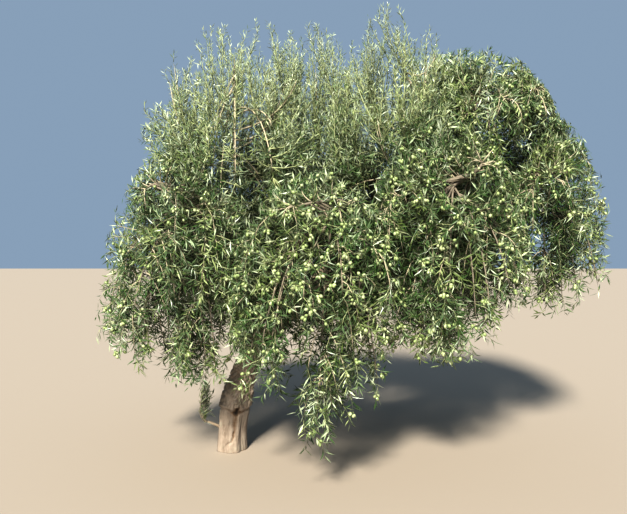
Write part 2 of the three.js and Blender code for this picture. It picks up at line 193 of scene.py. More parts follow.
def turned(ways: Array, turns: Array) -> Array:
    """Returns directions square to each way, turned round it from the level one."""
    level, rise = square_to(ways)
    return np.cos(turns)[:, None] * level + np.sin(turns)[:, None] * rise


def numbered(counts: Array) -> tuple[Array, Array]:
    """Returns each member's group and its number in the group, for groups of the given sizes."""
    group = np.repeat(np.arange(len(counts)), counts)
    return group, np.arange(len(group)) - np.repeat(np.cumsum(counts) - counts, counts)


def hump(away: float, width: float) -> float:
    """Returns 1 in the middle of a smooth hump and nearly 0 from twice its half width on."""
    return math.exp(-((away / width) ** 2))


@dataclass(frozen=True)
class Space:
    """The space that a mass of foliage keeps to: a dome over a shallow bowl.

    Attributes:
        name: The mass's name, which is its CAD node's.
        centre: The middle of the rim that dome and bowl share.
        radius: Half widths along X and Y.
        up: Height of the dome.
        down: Depth of the bowl.
        side: Where the bough comes in, in degrees round from +X.
        inset: How far from the middle it comes in, as a share of the radius.
        entry: How far up the dome, or down the bowl where it is negative.
        over: How far beyond the middle the stem's tip is, as a share of the radius.
        top: How far up the dome the stem's tip is.
        lowest: Lowest end of a branch, as a share of the bowl's depth.
        highest: Highest end of a branch, as a share of the dome's height.
        scale: Size of shoots and leaves against a full mass's.
        habit: How the mass grows.
        branches: Branches off the stem.
        fullness: How many twigs it has, as a share of its habit's number.
        olives: Share of the leafy shoots that bear olives.
        young: Share of its shoots that have young leaves.
        trailing: Where its last branch ends and its bowl comes to a point, or None for a round bowl.
    """

    name: str = ""
    centre: tuple[float, float, float] = (0, 0, 0)
    radius: tuple[float, float] = (1, 1)
    up: float = 1
    down: float = 1
    side: float = 180
    inset: float = 0.45
    entry: float = 0.66
    over: float = 0.5
    top: float = 0.72
    lowest: float = -0.9
    highest: float = 0.85
    scale: float = 1
    habit: Habit = Habit.WEEPING
    branches: int = 20
    fullness: float = 1
    olives: float = 0
    young: float = 0.08
    trailing: tuple[float, float, float] | None = None

    @property
    def middle(self) -> Array:
        """The middle of the rim, as an array."""
        return np.array(self.centre, dtype=float)

    @property
    def inward(self) -> Array:
        """The level way from the middle to the bough, one unit long."""
        side = math.radians(self.side)
        return np.array((math.cos(side), math.sin(side), 0.0))


SKIRT = Space()
SHOOTS = Space(
    inset=0, entry=-0.55, over=0, top=0.7, lowest=-0.5, highest=0.99, habit=Habit.UPRIGHT, branches=24
)
BASAL = replace(SHOOTS, entry=-0.5, scale=0.24, habit=Habit.BASAL, branches=6, young=0.7)

# The order gives each mass its seed.
SPACES = [
    replace(SKIRT, name="left_skirt", centre=(-0.24, -0.4, 0.98), radius=(0.64, 0.62), up=1.33, down=0.43,
            side=40, olives=0.2, fullness=1.15),
    replace(SKIRT, name="front_skirt", centre=(0.62, -0.86, 1.0), radius=(0.56, 0.48), up=1.12, down=0.97,
            side=62, lowest=-0.5, trailing=(0.66, -1.0, 0.4), olives=0.8),
    replace(SKIRT, name="front_right_skirt", centre=(1.48, -0.62, 1.25), radius=(0.6, 0.58), up=1.18,
            down=0.52, side=140, olives=0.6),
    replace(SKIRT, name="right_end_skirt", centre=(2.21, -0.02, 1.4), radius=(0.65, 0.65), up=1.25,
            down=0.42, side=180, entry=0.45, olives=0.36, fullness=1.35),
    replace(SKIRT, name="right_crown", centre=(1.82, 0.02, 2.25), radius=(0.68, 0.64), up=0.82, down=0.5,
            side=185, inset=0.6, entry=0.05, olives=0.3, young=0.25, fullness=1.15),
    replace(SHOOTS, name="left_shoots", centre=(0.04, -0.06, 2.0), radius=(0.74, 0.64), up=1.4, down=0.65),
    replace(SHOOTS, name="middle_shoots", centre=(0.7, 0.3, 2.0), radius=(0.64, 0.64), up=1.42, down=0.7),
    replace(SHOOTS, name="right_shoots", centre=(1.23, -0.1, 2.05), radius=(0.56, 0.64), up=1.33, down=0.6),
    replace(SKIRT, name="back_left_skirt", centre=(-0.12, 0.68, 1.15), radius=(0.66, 0.64), up=1.15,
            down=0.48, side=300, olives=0.24),
    replace(SKIRT, name="back_skirt", centre=(0.8, 1.05, 1.12), radius=(0.6, 0.52), up=1.18, down=0.52,
            side=250, olives=0.32),
    replace(SKIRT, name="back_right_skirt", centre=(1.65, 0.8, 1.3), radius=(0.64, 0.62), up=1.18,
            down=0.48, side=220, olives=0.32),
    replace(BASAL, name="basal_shoot", centre=(-0.172, -0.08, 0.33), radius=(0.078, 0.078), up=0.26,
            down=0.2),
]


class Crown:
    """All the spaces of the tree, and which of them a point belongs to."""

    PAST_CAD = 0.02  # how far leaves may pass the CAD box, as a share of its side
    MINGLE = 0.09  # how far a mass's twigs may pass into its neighbours, as a share of its radius

    def __init__(self, spaces: list[Space]) -> None:
        """Keeps the spaces' middles and sizes as arrays."""
        self.spaces = spaces
        lowest, highest = (np.array(corner) for corner in CAD_BOUNDS)
        past = self.PAST_CAD * (highest - lowest)
        self.lowest, self.highest = lowest - past, highest + past
        self.centres = np.array([space.centre for space in spaces])
        self.radii = np.array([space.radius for space in spaces])
        self.ups = np.array([space.up for space in spaces])
        self.downs = np.array([space.down for space in spaces])

    def depths(self, index: int, points: Array) -> tuple[Array, Array]:
        """Gives how deep points lie in a space, 0 in its middle and 1 on its surface.

        Args:
            index: Which space.
            points: Points, shaped (..., 3).

        Returns:
            Their depths in it, and in whichever other space they are deepest.
        """
        away = points[..., None, :] - self.centres
        tall = away[..., 2] / np.where(away[..., 2] > 0, self.ups, self.downs)
        depths = np.sqrt(((away[..., :2] / self.radii) ** 2).sum(axis=-1) + tall**2)
        own = depths[..., index].copy()
        depths[..., index] = np.inf
        return own, depths.min(axis=-1)

    def holds(self, index: int, points: Array, margin: float) -> Array:
        """Tells which points a space holds: those deeper in it than in any other, or nearly so.

        Args:
            index: Which space.
            points: Points, shaped (..., 3).
            margin: How far they have to keep from its walls.

        Returns:
            True or False for each point.
        """
        own, other = self.depths(index, points)
        own = own + margin * self.spaces[index].scale / self.radii[index].min()
        boxed = ((points > self.lowest) & (points < self.highest)).all(axis=-1)
        return boxed & (own < 1) & (other > own - self.MINGLE)


@dataclass
class Piece:
    """A visible mesh that takes the place of a CAD node.

    Attributes:
        node: The CAD node.
        kind: What the piece shows of it, which ends its name.
        slot: The record's material slot that its finish belongs to; not used.
        finishes: Its materials.
    """

    node: str
    kind: str
    slot: str
    finishes: list[Material]

    def from_arrays(self, arrays: MeshArrays, smooth: bool) -> None:
        """Makes the piece from arrays, its faces shaded smooth or flat."""
        points, corners, sizes, finish = arrays
        mesh = bpy.data.meshes.new(f"{self.node}_{self.kind}")
        mesh.vertices.add(len(points))
        mesh.vertices.foreach_set("co", points.astype(np.float32).ravel())
        mesh.loops.add(len(corners))
        mesh.loops.foreach_set("vertex_index", corners.astype(np.int32))
        mesh.polygons.add(len(sizes))
        mesh.polygons.foreach_set("loop_start", (np.cumsum(sizes) - sizes).astype(np.int32))
        mesh.polygons.foreach_set("material_index", finish.astype(np.int32))
        mesh.polygons.foreach_set("use_smooth", np.full(len(sizes), smooth))
        mesh.update(calc_edges=True)
        self.place(mesh)

    def place(self, mesh: bpy.types.Mesh) -> None:
        """Links a finished mesh to the scene and to the frame, and reports it."""
        for finish in self.finishes:
            mesh.materials.append(finish)
        piece = bpy.data.objects.new(f"{self.node}_{self.kind}", mesh)
        bpy.context.scene.collection.objects.link(piece)
        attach(piece, "root")
        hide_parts(self.node)
        triangles = sum(len(face.vertices) - 2 for face in mesh.polygons)
        log.info("%s: %d triangles", piece.name, triangles)


@dataclass
class Shoots:
    """Bent shoots of one order, drawn as thin tubes that end in a point.

    Attributes:
        bends: Start, bend and end of each, shaped (n, 3, 3).
        base: Radius at their starts.
        tip: Radius towards their ends.
    """

    bends: Array
    base: float
    tip: float

    def arrays(self, sides: int, steps: int, finish: int) -> MeshArrays:
        """Works out the tubes' rings and closes their starts.

        Args:
            sides: Sides of each tube.
            steps: Steps along each tube.
            finish: Their material number.

        Returns:
            The arrays of one mesh.
        """
        count = len(self.bends)
        along = np.arange(steps) / steps
        middles = arc(self.bends[:, None], along)
        ways = heading(self.bends[:, None], along)
        level, rise = square_to(unit(self.bends[:, 2] - self.bends[:, 0]))
        first = unit(np.cross(ways, level[:, None] * 0.3 + rise[:, None]))
        second = np.cross(ways, first)
        radius = mix(self.base, self.tip, along)[:, None, None]
        turns = np.arange(sides) * 2 * math.pi / sides
        ring = np.cos(turns)[:, None] * first[:, :, None] + np.sin(turns)[:, None] * second[:, :, None]
        rings = (middles[:, :, None] + radius * ring).reshape(count, -1, 3)
        points = np.concatenate([rings, self.bends[:, 2:]], axis=1)
        around = np.arange(sides)
        after = (around + 1) % sides
        rows = np.arange(steps - 1)[:, None] * sides
        walls = np.stack([rows + around, rows + after, rows + sides + after, rows + sides + around], axis=-1)
        last = (steps - 1) * sides
        point = np.stack([last + around, last + after, np.full(sides, last + sides)], axis=-1)
        tube = np.concatenate([walls.ravel(), point.ravel(), around[::-1]])
        corners = (tube + np.arange(count)[:, None] * points.shape[1]).ravel()
        sizes = np.concatenate([np.full(len(rows) * sides, 4), np.full(sides, 3), [sides]])
        sizes = np.tile(sizes, count)
        return points.reshape(-1, 3), corners, sizes, np.full(len(sizes), finish)


@dataclass
class Stamp:
    """A small closed shape that is repeated many times.

    Attributes:
        points: Its points, shaped (n, 3).
        faces: Its triangles, shaped (m, 3).
        finish: Material number of each triangle.
    """

    points: Array
    faces: Array
    finish: Array

    @classmethod
    def of(cls, shape: bmesh.types.BMesh) -> "Stamp":
        """Takes a bmesh as a stamp, triangulated, and frees it."""
        bmesh.ops.triangulate(shape, faces=shape.faces[:])
        shape.verts.index_update()
        points = np.array([vert.co[:] for vert in shape.verts])
        faces = np.array([[vert.index for vert in face.verts] for face in shape.faces])
        finish = np.array([face.material_index for face in shape.faces])
        shape.free()
        return cls(points, faces, finish)

    def arrays(self, axes: Array, at: Array, finish: Array) -> MeshArrays:
        """Repeats the stamp.

        Args:
            axes: The stamp's three axes for each copy, scaled, shaped (n, 3, 3).
            at: The place of each copy, shaped (n, 3).
            finish: What is added to each copy's material numbers.

        Returns:
            The arrays of one mesh.
        """
        points = np.einsum("pa,nab->npb", self.points, axes) + at[:, None]
        corners = self.faces.ravel()[None] + np.arange(len(at))[:, None] * len(self.points)
        slots = self.finish[None] + finish[:, None]
        return points.reshape(-1, 3), corners.ravel(), np.full(slots.size, 3), slots.ravel()


def joined(batches: list[MeshArrays]) -> MeshArrays:
    """Joins the arrays of several batches into those of one mesh."""
    points, corners, sizes, finish = zip(*batches)
    firsts = np.cumsum([0] + [len(batch) for batch in points])
    corners = [batch + first for batch, first in zip(corners, firsts)]
    return tuple(np.concatenate(parts) for parts in (points, corners, sizes, finish))


def node(tree: Tree, kind: str, inputs: dict[str | int, object], **settings: object) -> bpy.types.Node:
    """Adds a node to a material.

    Args:
        tree: The material's node tree.
        kind: The node's type, after the word ShaderNode.
        inputs: What each of its inputs holds: a plain value, or the socket that feeds it.
        settings: The node's own settings.

    Returns:
        The node.
    """
    made = tree.nodes.new(f"ShaderNode{kind}")
    for name, value in settings.items():
        setattr(made, name, value)
    for name, given in inputs.items():
        if isinstance(given, Socket):
            tree.links.new(given, made.inputs[name])
        else:
            made.inputs[name].default_value = given
    return made


@dataclass(frozen=True)
class PlainFinish:
    """A finish of one plain colour, for small things that are dealt out by the spray.

    Attributes:
        name: The material's name.
        colour: Its base colour.
        roughness: How matt it is.
        coat: How strong its waxy coat is.
    """

    name: str
    colour: Colour
    roughness: float
    coat: float = 0

    def material(self) -> Material:
        """Makes the material, with its values on the shader's own sockets."""
        made = bpy.data.materials.new(self.name)
        made.use_nodes = True
        shader = made.node_tree.nodes["Principled BSDF"]
        shader.inputs["Base Color"].default_value = (*self.colour, 1)
        shader.inputs["Roughness"].default_value = self.roughness
        shader.inputs["Coat Weight"].default_value = self.coat
        return made


def leaf_finishes(name: str, upper: Colour, under: Colour, roughness: float) -> list[PlainFinish]:
    """Returns the finishes of a leaf's glossy upper faces and of its matt, downy under faces."""
    return [PlainFinish(name, upper, roughness), PlainFinish(f"{name}_under", under, 0.6)]


# Upper and under faces of leaves, each in tones that are dealt out by the spray
LEAF_TONES = [
    # The first and darkest tone is painted shade on the old leaves deep inside the crown
    leaf_finishes("leaf_deep", (0.02, 0.038, 0.01), (0.08, 0.1, 0.05), 0.36),
    leaf_finishes("leaf_green", (0.044, 0.086, 0.024), (0.24, 0.3, 0.18), 0.34),
    leaf_finishes("leaf_grey", (0.078, 0.12, 0.054), (0.38, 0.43, 0.3), 0.35),
    leaf_finishes("leaf_warm", (0.115, 0.155, 0.052), (0.4, 0.45, 0.28), 0.36),
]
YOUNG_TONES = [
    leaf_finishes("young_green", (0.135, 0.185, 0.09), (0.36, 0.42, 0.29), 0.4),
    leaf_finishes("young_silver", (0.24, 0.29, 0.185), (0.5, 0.55, 0.43), 0.42),
    leaf_finishes("young_yellow", (0.27, 0.32, 0.15), (0.46, 0.5, 0.33), 0.4),
]
OLIVE_TONES = [
    PlainFinish("olive_green", (0.27, 0.335, 0.15), 0.35, coat=0.2),
    PlainFinish("olive_pale", (0.37, 0.415, 0.235), 0.35, coat=0.2),
    PlainFinish("olive_stalk", (0.2, 0.24, 0.08), 0.6),
]
TWIG_TONES = [
    PlainFinish("branch_bark", (0.21, 0.18, 0.138), 0.85),
    PlainFinish("twig_bark", (0.42, 0.37, 0.27), 0.8),
    PlainFinish("shoot_bark", (0.34, 0.37, 0.2), 0.75),
]


@dataclass(frozen=True)
class BarkFinish:
    """Olive bark: tan ridges over dark furrows, with pale lichen and painted shade down in the mesh's
    furrows.

    Attributes:
        name: The material's name.
        sunk_shade: Painted shade down in the furrows of the mesh.
        hollow_shade: Darker painted shade in their deepest parts.
        furrow: Colour of the fine dark streaks.
        ridge: Colour of the ridges.
        pale: Colour of the weathered ridges.
        lichen: Colour of the lichen.
        furrow_size: How fine the furrows are.
        lichen_size: How fine the patches of lichen are.
        stretch: How long the furrows are drawn, 1 for not at all.
        lichen_share: How strong the lichen is.
        relief: Height of the fine relief.
        roughness: How matt it is.
    """

    FURROW_NOISE = {"Detail": 6, "Roughness": 0.62, "Distortion": 0.6}
    LICHEN_NOISE = {"Detail": 8, "Roughness": 0.7, "Distortion": 0.2}
    LICHEN_EDGE = {"From Min": 0.52, "From Max": 0.66}  # where in its noise lichen begins and is full
    FURROW_SHADE_EDGE = {"From Min": 0.2, "From Max": 0.65}  # how deep in the mesh's furrows the painted shade begins and is full
    BARK_STOPS = (0.36, 0.48, 0.66)  # where in the fine noise furrow, ridge and weathered ridge lie
    FURROW_SHADE_STOPS = (0.45, 0.95)  # how deep the two colours of painted shade lie
    BUMP_STRENGTH = 0.9

    name: str
    # Painted shade: colours for the mesh's furrows, darkest at their bottoms
    sunk_shade: Colour = (0.19, 0.125, 0.075)
    hollow_shade: Colour = (0.03, 0.02, 0.013)
    furrow: Colour = (0.2, 0.158, 0.12)
    ridge: Colour = (0.255, 0.21, 0.167)
    pale: Colour = (0.315, 0.262, 0.212)
    lichen: Colour = (0.34, 0.33, 0.26)
    furrow_size: float = 34
    lichen_size: float = 9
    stretch: float = 0.22
    lichen_share: float = 0.35
    relief: float = 0.006
    roughness: float = 0.92

    def material(self) -> Material:
        """Makes the material, whose pattern follows the limb by its mesh's own attributes."""
        made = bpy.data.materials.new(self.name)
        made.use_nodes = True
        tree = made.node_tree
        along = node(tree, "Attribute", {}, attribute_name=Limb.ALONG).outputs["Vector"]
        depth = node(tree, "Attribute", {}, attribute_name=Limb.FURROWED).outputs["Fac"]
        drawn = node(tree, "VectorMath", {0: along, 1: (1, 1, self.stretch)}, operation="MULTIPLY").outputs[0]
        place = {"Vector": drawn, "Scale": self.furrow_size}
        furrows = node(tree, "TexNoise", place | self.FURROW_NOISE).outputs["Fac"]
        scales = node(tree, "TexVoronoi", place, feature="DISTANCE_TO_EDGE").outputs["Distance"]
        place = {"Vector": along, "Scale": self.lichen_size}
        patches = node(tree, "TexNoise", place | self.LICHEN_NOISE).outputs["Fac"]
        bark = self.ramp(tree, furrows, self.BARK_STOPS, (self.furrow, self.ridge, self.pale))
        grown = node(tree, "MapRange", {"Value": patches, "To Max": self.lichen_share} | self.LICHEN_EDGE)
        bark = self.blend(tree, grown.outputs["Result"], bark, (*self.lichen, 1))
        # Painted shade: down in the mesh's furrows and in the healed wound the bark turns dark, near black at
        # the bottom
        furrow_shade = node(tree, "MapRange", {"Value": depth} | self.FURROW_SHADE_EDGE, interpolation_type="SMOOTHSTEP")
        shade = self.ramp(tree, depth, self.FURROW_SHADE_STOPS, (self.sunk_shade, self.hollow_shade))
        bark = self.blend(tree, furrow_shade.outputs["Result"], bark, shade)
        height = node(tree, "Math", {0: scales, 1: 0.5, 2: furrows}, operation="MULTIPLY_ADD").outputs[0]
        bump = node(
            tree, "Bump", {"Height": height, "Distance": self.relief, "Strength": self.BUMP_STRENGTH}
        )
        shader = tree.nodes["Principled BSDF"]
        shader.inputs["Roughness"].default_value = self.roughness
        tree.links.new(bark, shader.inputs["Base Color"])
        tree.links.new(bump.outputs["Normal"], shader.inputs["Normal"])
        return made

    @staticmethod
    def ramp(tree: Tree, factor: Socket, stops: tuple[float, ...], colours: tuple[Colour, ...]) -> Socket:
        """Adds a colour ramp.

        Args:
            tree: The material's node tree.
            factor: Where the ramp is read.
            stops: Its places, lowest first.
            colours: The colour at each of them.

        Returns:
            The colour's socket.
        """
        made = node(tree, "ValToRGB", {"Fac": factor})
        marks = made.color_ramp.elements
        for which in (0, -1):
            marks[which].position = stops[which]
            marks[which].color = (*colours[which], 1)
        for place, colour in zip(stops[1:-1], colours[1:-1]):
            marks.new(place).color = (*colour, 1)
        return made.outputs["Color"]

    @staticmethod
    def blend(tree: Tree, share_of_b: Socket, a: Socket, b: Socket | tuple[float, ...]) -> Socket:
        """Adds a blend of one colour into another and returns its socket."""
        return node(tree, "Mix", {"Factor": share_of_b, "A": a, "B": b}, data_type="RGBA").outputs["Result"]


@dataclass
class Limb:
    """A limb of bark: a closed tube that follows a middle line, with relief in its mesh.

    Attributes:
        name: The limb's name, which is its CAD node's.
        bend: Start, bend and end of its middle line, shaped (3, 3).
        base: Radius at its start.
        tip: Radius at its end.
        carries: The mass that grows from its tip.
        sides: Sides of its mesh.
        rings: Steps along its mesh.
        knots: How high its lumps stand, as a share of the radius.
        swell: How much wider it is where it leaves its parent.
        swell_length: The length over which that dies away.
    """

    ALONG = "along_limb"
    FURROWED = "furrowed"
    LUMP_GRAIN = 14  # how fine the lumps are
    RIDGE_GRAIN = (60, 9)  # how fine the ridges are across the limb and along it

    name: str
    bend: Array
    base: float
    tip: float
    carries: str = ""
    sides: int = 20
    rings: int = 48
    knots: float = 0.13
    swell: float = 0.35
    swell_length: float = 0.09

    def middle(self, t: float | Array) -> Array:
        """Returns the middle line's point at a share of it."""
        return arc(self.bend, t)

    def way(self, t: float) -> Array:
        """Returns the middle line's direction at a share of it."""
        return heading(self.bend, t)

    def radius_at(self, t: float | Array) -> Array | float:
        """Returns the radius at a share of the limb."""
        return mix(self.base, self.tip, t)

    def surface(self, t: float, angle: float) -> tuple[Array, tuple[float, float, float], float]:
        """Gives a point of the bark.

        Args:
            t: Share of the limb.
            angle: Angle round it.

        Returns:
            The point, the same point on the limb as if it were straight, for its pattern, and how
            far down in a furrow it lies, from 0 to 1.
        """
        way = self.way(t)
        _, rise = square_to(unit(self.bend[2] - self.bend[0]))
        first = unit(np.cross(way, rise))
        second = np.cross(way, first)
        length = t * float(lengths(self.bend))
        radius = self.radius_at(t) * (1 + self.swell * math.exp(-length / self.swell_length))
        straight = (math.cos(angle) * radius, math.sin(angle) * radius, length)
        seed = sum(ord(letter) for letter in self.name)
        lumps = noise.noise(Vector(straight) * self.LUMP_GRAIN + Vector((seed, 0, 0)))
        across, along = self.RIDGE_GRAIN
        ridges = noise.noise(Vector((straight[0] * across, straight[1] * across, length * along + seed)))
        relief = self.knots * (lumps + 0.5 * ridges)
        point = self.middle(t) + radius * (1 + relief) * (math.cos(angle) * first + math.sin(angle) * second)
        return point, straight, min(max(-relief / self.knots, 0), 1)

    def build(self, finish: Material) -> None:
        """Makes the limb from a closed drum of rings that is carried onto the middle line."""
        shape = bmesh.new()
        bmesh.ops.create_cone(shape, cap_ends=True, segments=self.sides, radius1=1, radius2=1, depth=1)
        posts = [edge for edge in shape.edges if abs(edge.verts[0].co.z - edge.verts[1].co.z) > 0.5]
        bmesh.ops.subdivide_edges(shape, edges=posts, cuts=self.rings - 1)
        along = shape.verts.layers.float_vector.new(self.ALONG)
        furrowed = shape.verts.layers.float.new(self.FURROWED)
        for vert in shape.verts:
            t = min(max(vert.co.z + 0.5, 0), 1)
            point, straight, depth = self.surface(t, math.atan2(vert.co.y, vert.co.x))
            vert.co = Vector(point)
            vert[along] = Vector(straight)
            vert[furrowed] = depth
        bmesh.ops.recalc_face_normals(shape, faces=shape.faces[:])
        for face in shape.faces:
            face.smooth = True
        mesh = bpy.data.meshes.new(self.name)
        shape.to_mesh(mesh)
        shape.free()
        Piece(self.name, "bark", "bark", [finish]).place(mesh)

    def samples(self) -> tuple[Array, Array]:
        """Returns points along the middle line and the radii there, for keeping shoots clear of it."""
        t = np.linspace(0, 1, 60)
        return self.middle(t), self.radius_at(t)


@dataclass
class Trunk(Limb):
    """The short leaning trunk, from its flat cut at ground level to its fork.

    Attributes:
        height: To the crotch between the boughs.
        flare: How far the root flare stands out at the ground.
        flare_height: The height over which it dies away.
        lean: How far the crotch lies to the right of the foot.
        lean_power: How late the lean sets in.
        lobes: Number of flutes round the trunk.
        lobe_depth: Their depth, as a share of the radius.
        collar: How far the rough swelling of old pruning cuts stands out.
        collar_height: Height of that swelling.
        collar_spread: Half its height.
        crown: Height over which the top rounds off.
        wound: Depth of the long healed wound in the trunk's face.
        rim: Height of the lip that the bark has rolled up over it.
    """

    height: float = 0.8
    flare: float = 0.004
    flare_height: float = 0.05
    lean: float = 0.195
    lean_power: float = 2.4
    lobes: int = 5
    lobe_depth: float = 0.06
    collar: float = 0.016
    collar_height: float = 0.4
    collar_spread: float = 0.14
    crown: float = 0.07
    wound: float = 0.03
    rim: float = 0.34

    # Heights of the wound, and its side, half width and share of its depth there
    WOUND = (
        (0.0, 0.04, 0.09, 0.15, 0.21, 0.27, 0.3, 0.335, 0.35),
        (-122, -112, -84, -74, -72, -70, -70, -70, -70),
        (8, 7, 6, 7, 15, 20, 18, 14, 12),
        (0.2, 0.3, 0.35, 0.4, 0.36, 0.45, 1, 0.8, 0),
    )
    # How fine a pattern is round the trunk and along it, and how high it stands
    FLUTES = (2.2, 2.2, 0.008)
    STREAKS = (9, 8, 0.003)
    KNOB_GRAIN = 24
    KNOB_WARP = (0.35, 20)  # how far knobs are bent out of shape, and how fine the bends are
    KNOB_FLANK = 0.35  # how wide a knob's flank is
    KNOB_FOOT = 0.55  # share of a knob's height that lies under the plain girth
    KNOBS = (0.0015, 0.016)  # their height under the rim and over it
    CRUMB_GRAIN = 90
    CRUMBS = (0.0015, 0.0055)  # their height beside the wound and in it
    WAVE = (0.014, 0.6)  # how far the rim rises and falls round the trunk, and its turn
    WAVE_STRAY = (0.012, 5)  # how far it strays from that, and how often
    WAVE_EDGE = 0.02  # height over which the knobs set in above the rim
    LIP = 0.011  # how far the rim's lip stands out
    LIP_IN_WOUND = 0.8  # share of the lip that the wound takes away
    WOUND_STRAY = (0.12, 30)  # how ragged the wound's edge is, in radians, and how fine
    LIP_WIDTHS = (0.013, 0.012)  # half heights of the lip and of the groove under it
    GROOVE_DROP = 0.028
    GROOVE_SHARE = 0.7  # depth of that groove, as a share of the lip
    DEEPEST = 0.026  # relief that counts as the bottom of a furrow

    def middle(self, t: float | Array) -> Array:
        """Returns the middle line's point at a share of the trunk's height."""
        t = np.asarray(t, dtype=float)
        return np.stack([self.lean * np.minimum(t, 1) ** self.lean_power, 0 * t, t * self.height], axis=-1)

    def girth(self, z: float, angle: float) -> float:
        """Returns the radius at a height and an angle, as the CAD trunk has it."""
        taper = mix(self.base, self.tip, min(z / self.height, 1))
        lobe = math.cos(self.lobes * angle + z / self.height)
        foot = self.flare * math.exp(-z / self.flare_height) * (1 + 0.5 * lobe)
        collar = self.collar * hump(z - self.collar_height, self.collar_spread)
        past = max(0.0, (z - self.height + self.crown) / (2 * self.crown))
        return (taper * (1 + self.lobe_depth * lobe) + foot + collar) * math.sqrt(max(1 - past**4, 0))

    def radius_at(self, t: float | Array) -> Array | float:
        """Returns the radius at a share of the trunk's height, on its right side."""
        return np.vectorize(lambda share_up: self.girth(min(share_up, 0.95) * self.height, 0))(t)

    def surface(self, t: float, angle: float) -> tuple[Array, tuple[float, float, float], float]:
        """Gives a point of the bark: the plain girth with its relief."""
        z = t * (self.height + self.crown)
        radius = self.girth(z, angle)
        straight = (math.cos(angle) * radius, math.sin(angle) * radius, z)
        relief = self.relief(z, angle, Vector(straight))
        radius += relief
        centre = self.middle(min(z / self.height, 1)) * (1, 1, 0) + (0, 0, z)
        point = centre + np.array((radius * math.cos(angle), radius * math.sin(angle), 0))
        return point, straight, min(max(-relief / self.DEEPEST, 0), 1)

    def relief(self, z: float, angle: float, place: Vector) -> float:
        """Gives how far the bark stands out over the plain girth.

        Args:
            z: Height.
            angle: Angle round the trunk.
            place: The point on the plain girth, for the lumps.

        Returns:
            The height of the relief, less than 0 in furrows.
        """
        round_trunk = Vector((math.cos(angle), math.sin(angle), 0))
        grain = sum(
            height * noise.noise(round_trunk * around + UP_WAY * z * along)
            for around, along, height in (self.FLUTES, self.STREAKS)
        )
        warp, warp_grain = self.KNOB_WARP
        warped = place * self.KNOB_GRAIN + warp * Vector(noise.noise_vector(place * warp_grain))
        nearest, second = noise.voronoi(warped)[0][:2]
        knobs = min((second - nearest) / self.KNOB_FLANK, 1) - self.KNOB_FOOT
        (swing, turn), (stray, often) = self.WAVE, self.WAVE_STRAY
        wave = self.rim + swing * math.sin(2 * angle + turn) + stray * noise.noise(round_trunk * often)
        above = min(max((z - wave) / self.WAVE_EDGE, 0), 1)
        lip_width, groove_width = self.LIP_WIDTHS
        groove = self.GROOVE_SHARE * hump(z - wave + self.GROOVE_DROP, groove_width)
        lip = hump(z - wave, lip_width) - groove
        ragged, fine = self.WOUND_STRAY
        torn = self.wounded(z, angle + ragged * noise.noise(place * fine))
        crumbs = mix(*self.CRUMBS, torn) * noise.noise(place * self.CRUMB_GRAIN)
        rolled = self.LIP * lip * (1 - self.LIP_IN_WOUND * torn)
        return grain + knobs * mix(*self.KNOBS, above) + rolled + crumbs - self.wound * torn

    def wounded(self, z: float, angle: float) -> float:
        """Returns how deep in the healed wound a place lies, from 0 beside it to 1 in its deepest part."""
        heights, sides, widths, depths = self.WOUND
        if not heights[0] < z < heights[-1]:
            return 0
        side = math.remainder(angle - math.radians(np.interp(z, heights, sides)), 2 * math.pi)
        return hump(side, math.radians(np.interp(z, heights, widths))) * np.interp(z, heights, depths)


@dataclass(frozen=True)
class Fork:
    """Where a bough leaves its parent, and what it carries.

    Attributes:
        name: The bough's name, which is its CAD node's.
        parent: The limb that it leaves.
        at: The share of the parent's length where it leaves.
        base: Its radius there.
        tip: Its radius at its end.
        carries: The mass that grows from its tip.
    """

    name: str
    parent: str
    at: float
    base: float
    tip: float
    carries: str


FORKS = [
    Fork("bough_right", "trunk", 0.86, 0.066, 0.019, "right_end_skirt"),
    Fork("bough_left", "trunk", 0.84, 0.05, 0.017, "left_skirt"),
    Fork("bough_back", "trunk", 0.8, 0.05, 0.017, "back_skirt"),
    Fork("bough_leader", "trunk", 0.9, 0.048, 0.017, "middle_shoots"),
    Fork("bough_front", "trunk", 0.78, 0.046, 0.017, "front_skirt"),
    Fork("bough_to_front", "bough_right", 0.4, 0.036, 0.016, "front_right_skirt"),
    Fork("bough_to_crown", "bough_right", 0.62, 0.032, 0.016, "right_crown"),
    Fork("bough_to_back", "bough_right", 0.3, 0.036, 0.016, "back_right_skirt"),
    Fork("bough_back_left", "bough_back", 0.3, 0.036, 0.016, "back_left_skirt"),
    Fork("bough_left_rise", "bough_left", 0.45, 0.028, 0.015, "left_shoots"),
    Fork("bough_right_rise", "bough_right", 0.5, 0.028, 0.015, "right_shoots"),
    Fork("basal_spur", "trunk", 0.1, 0.016, 0.009, "basal_shoot"),
]


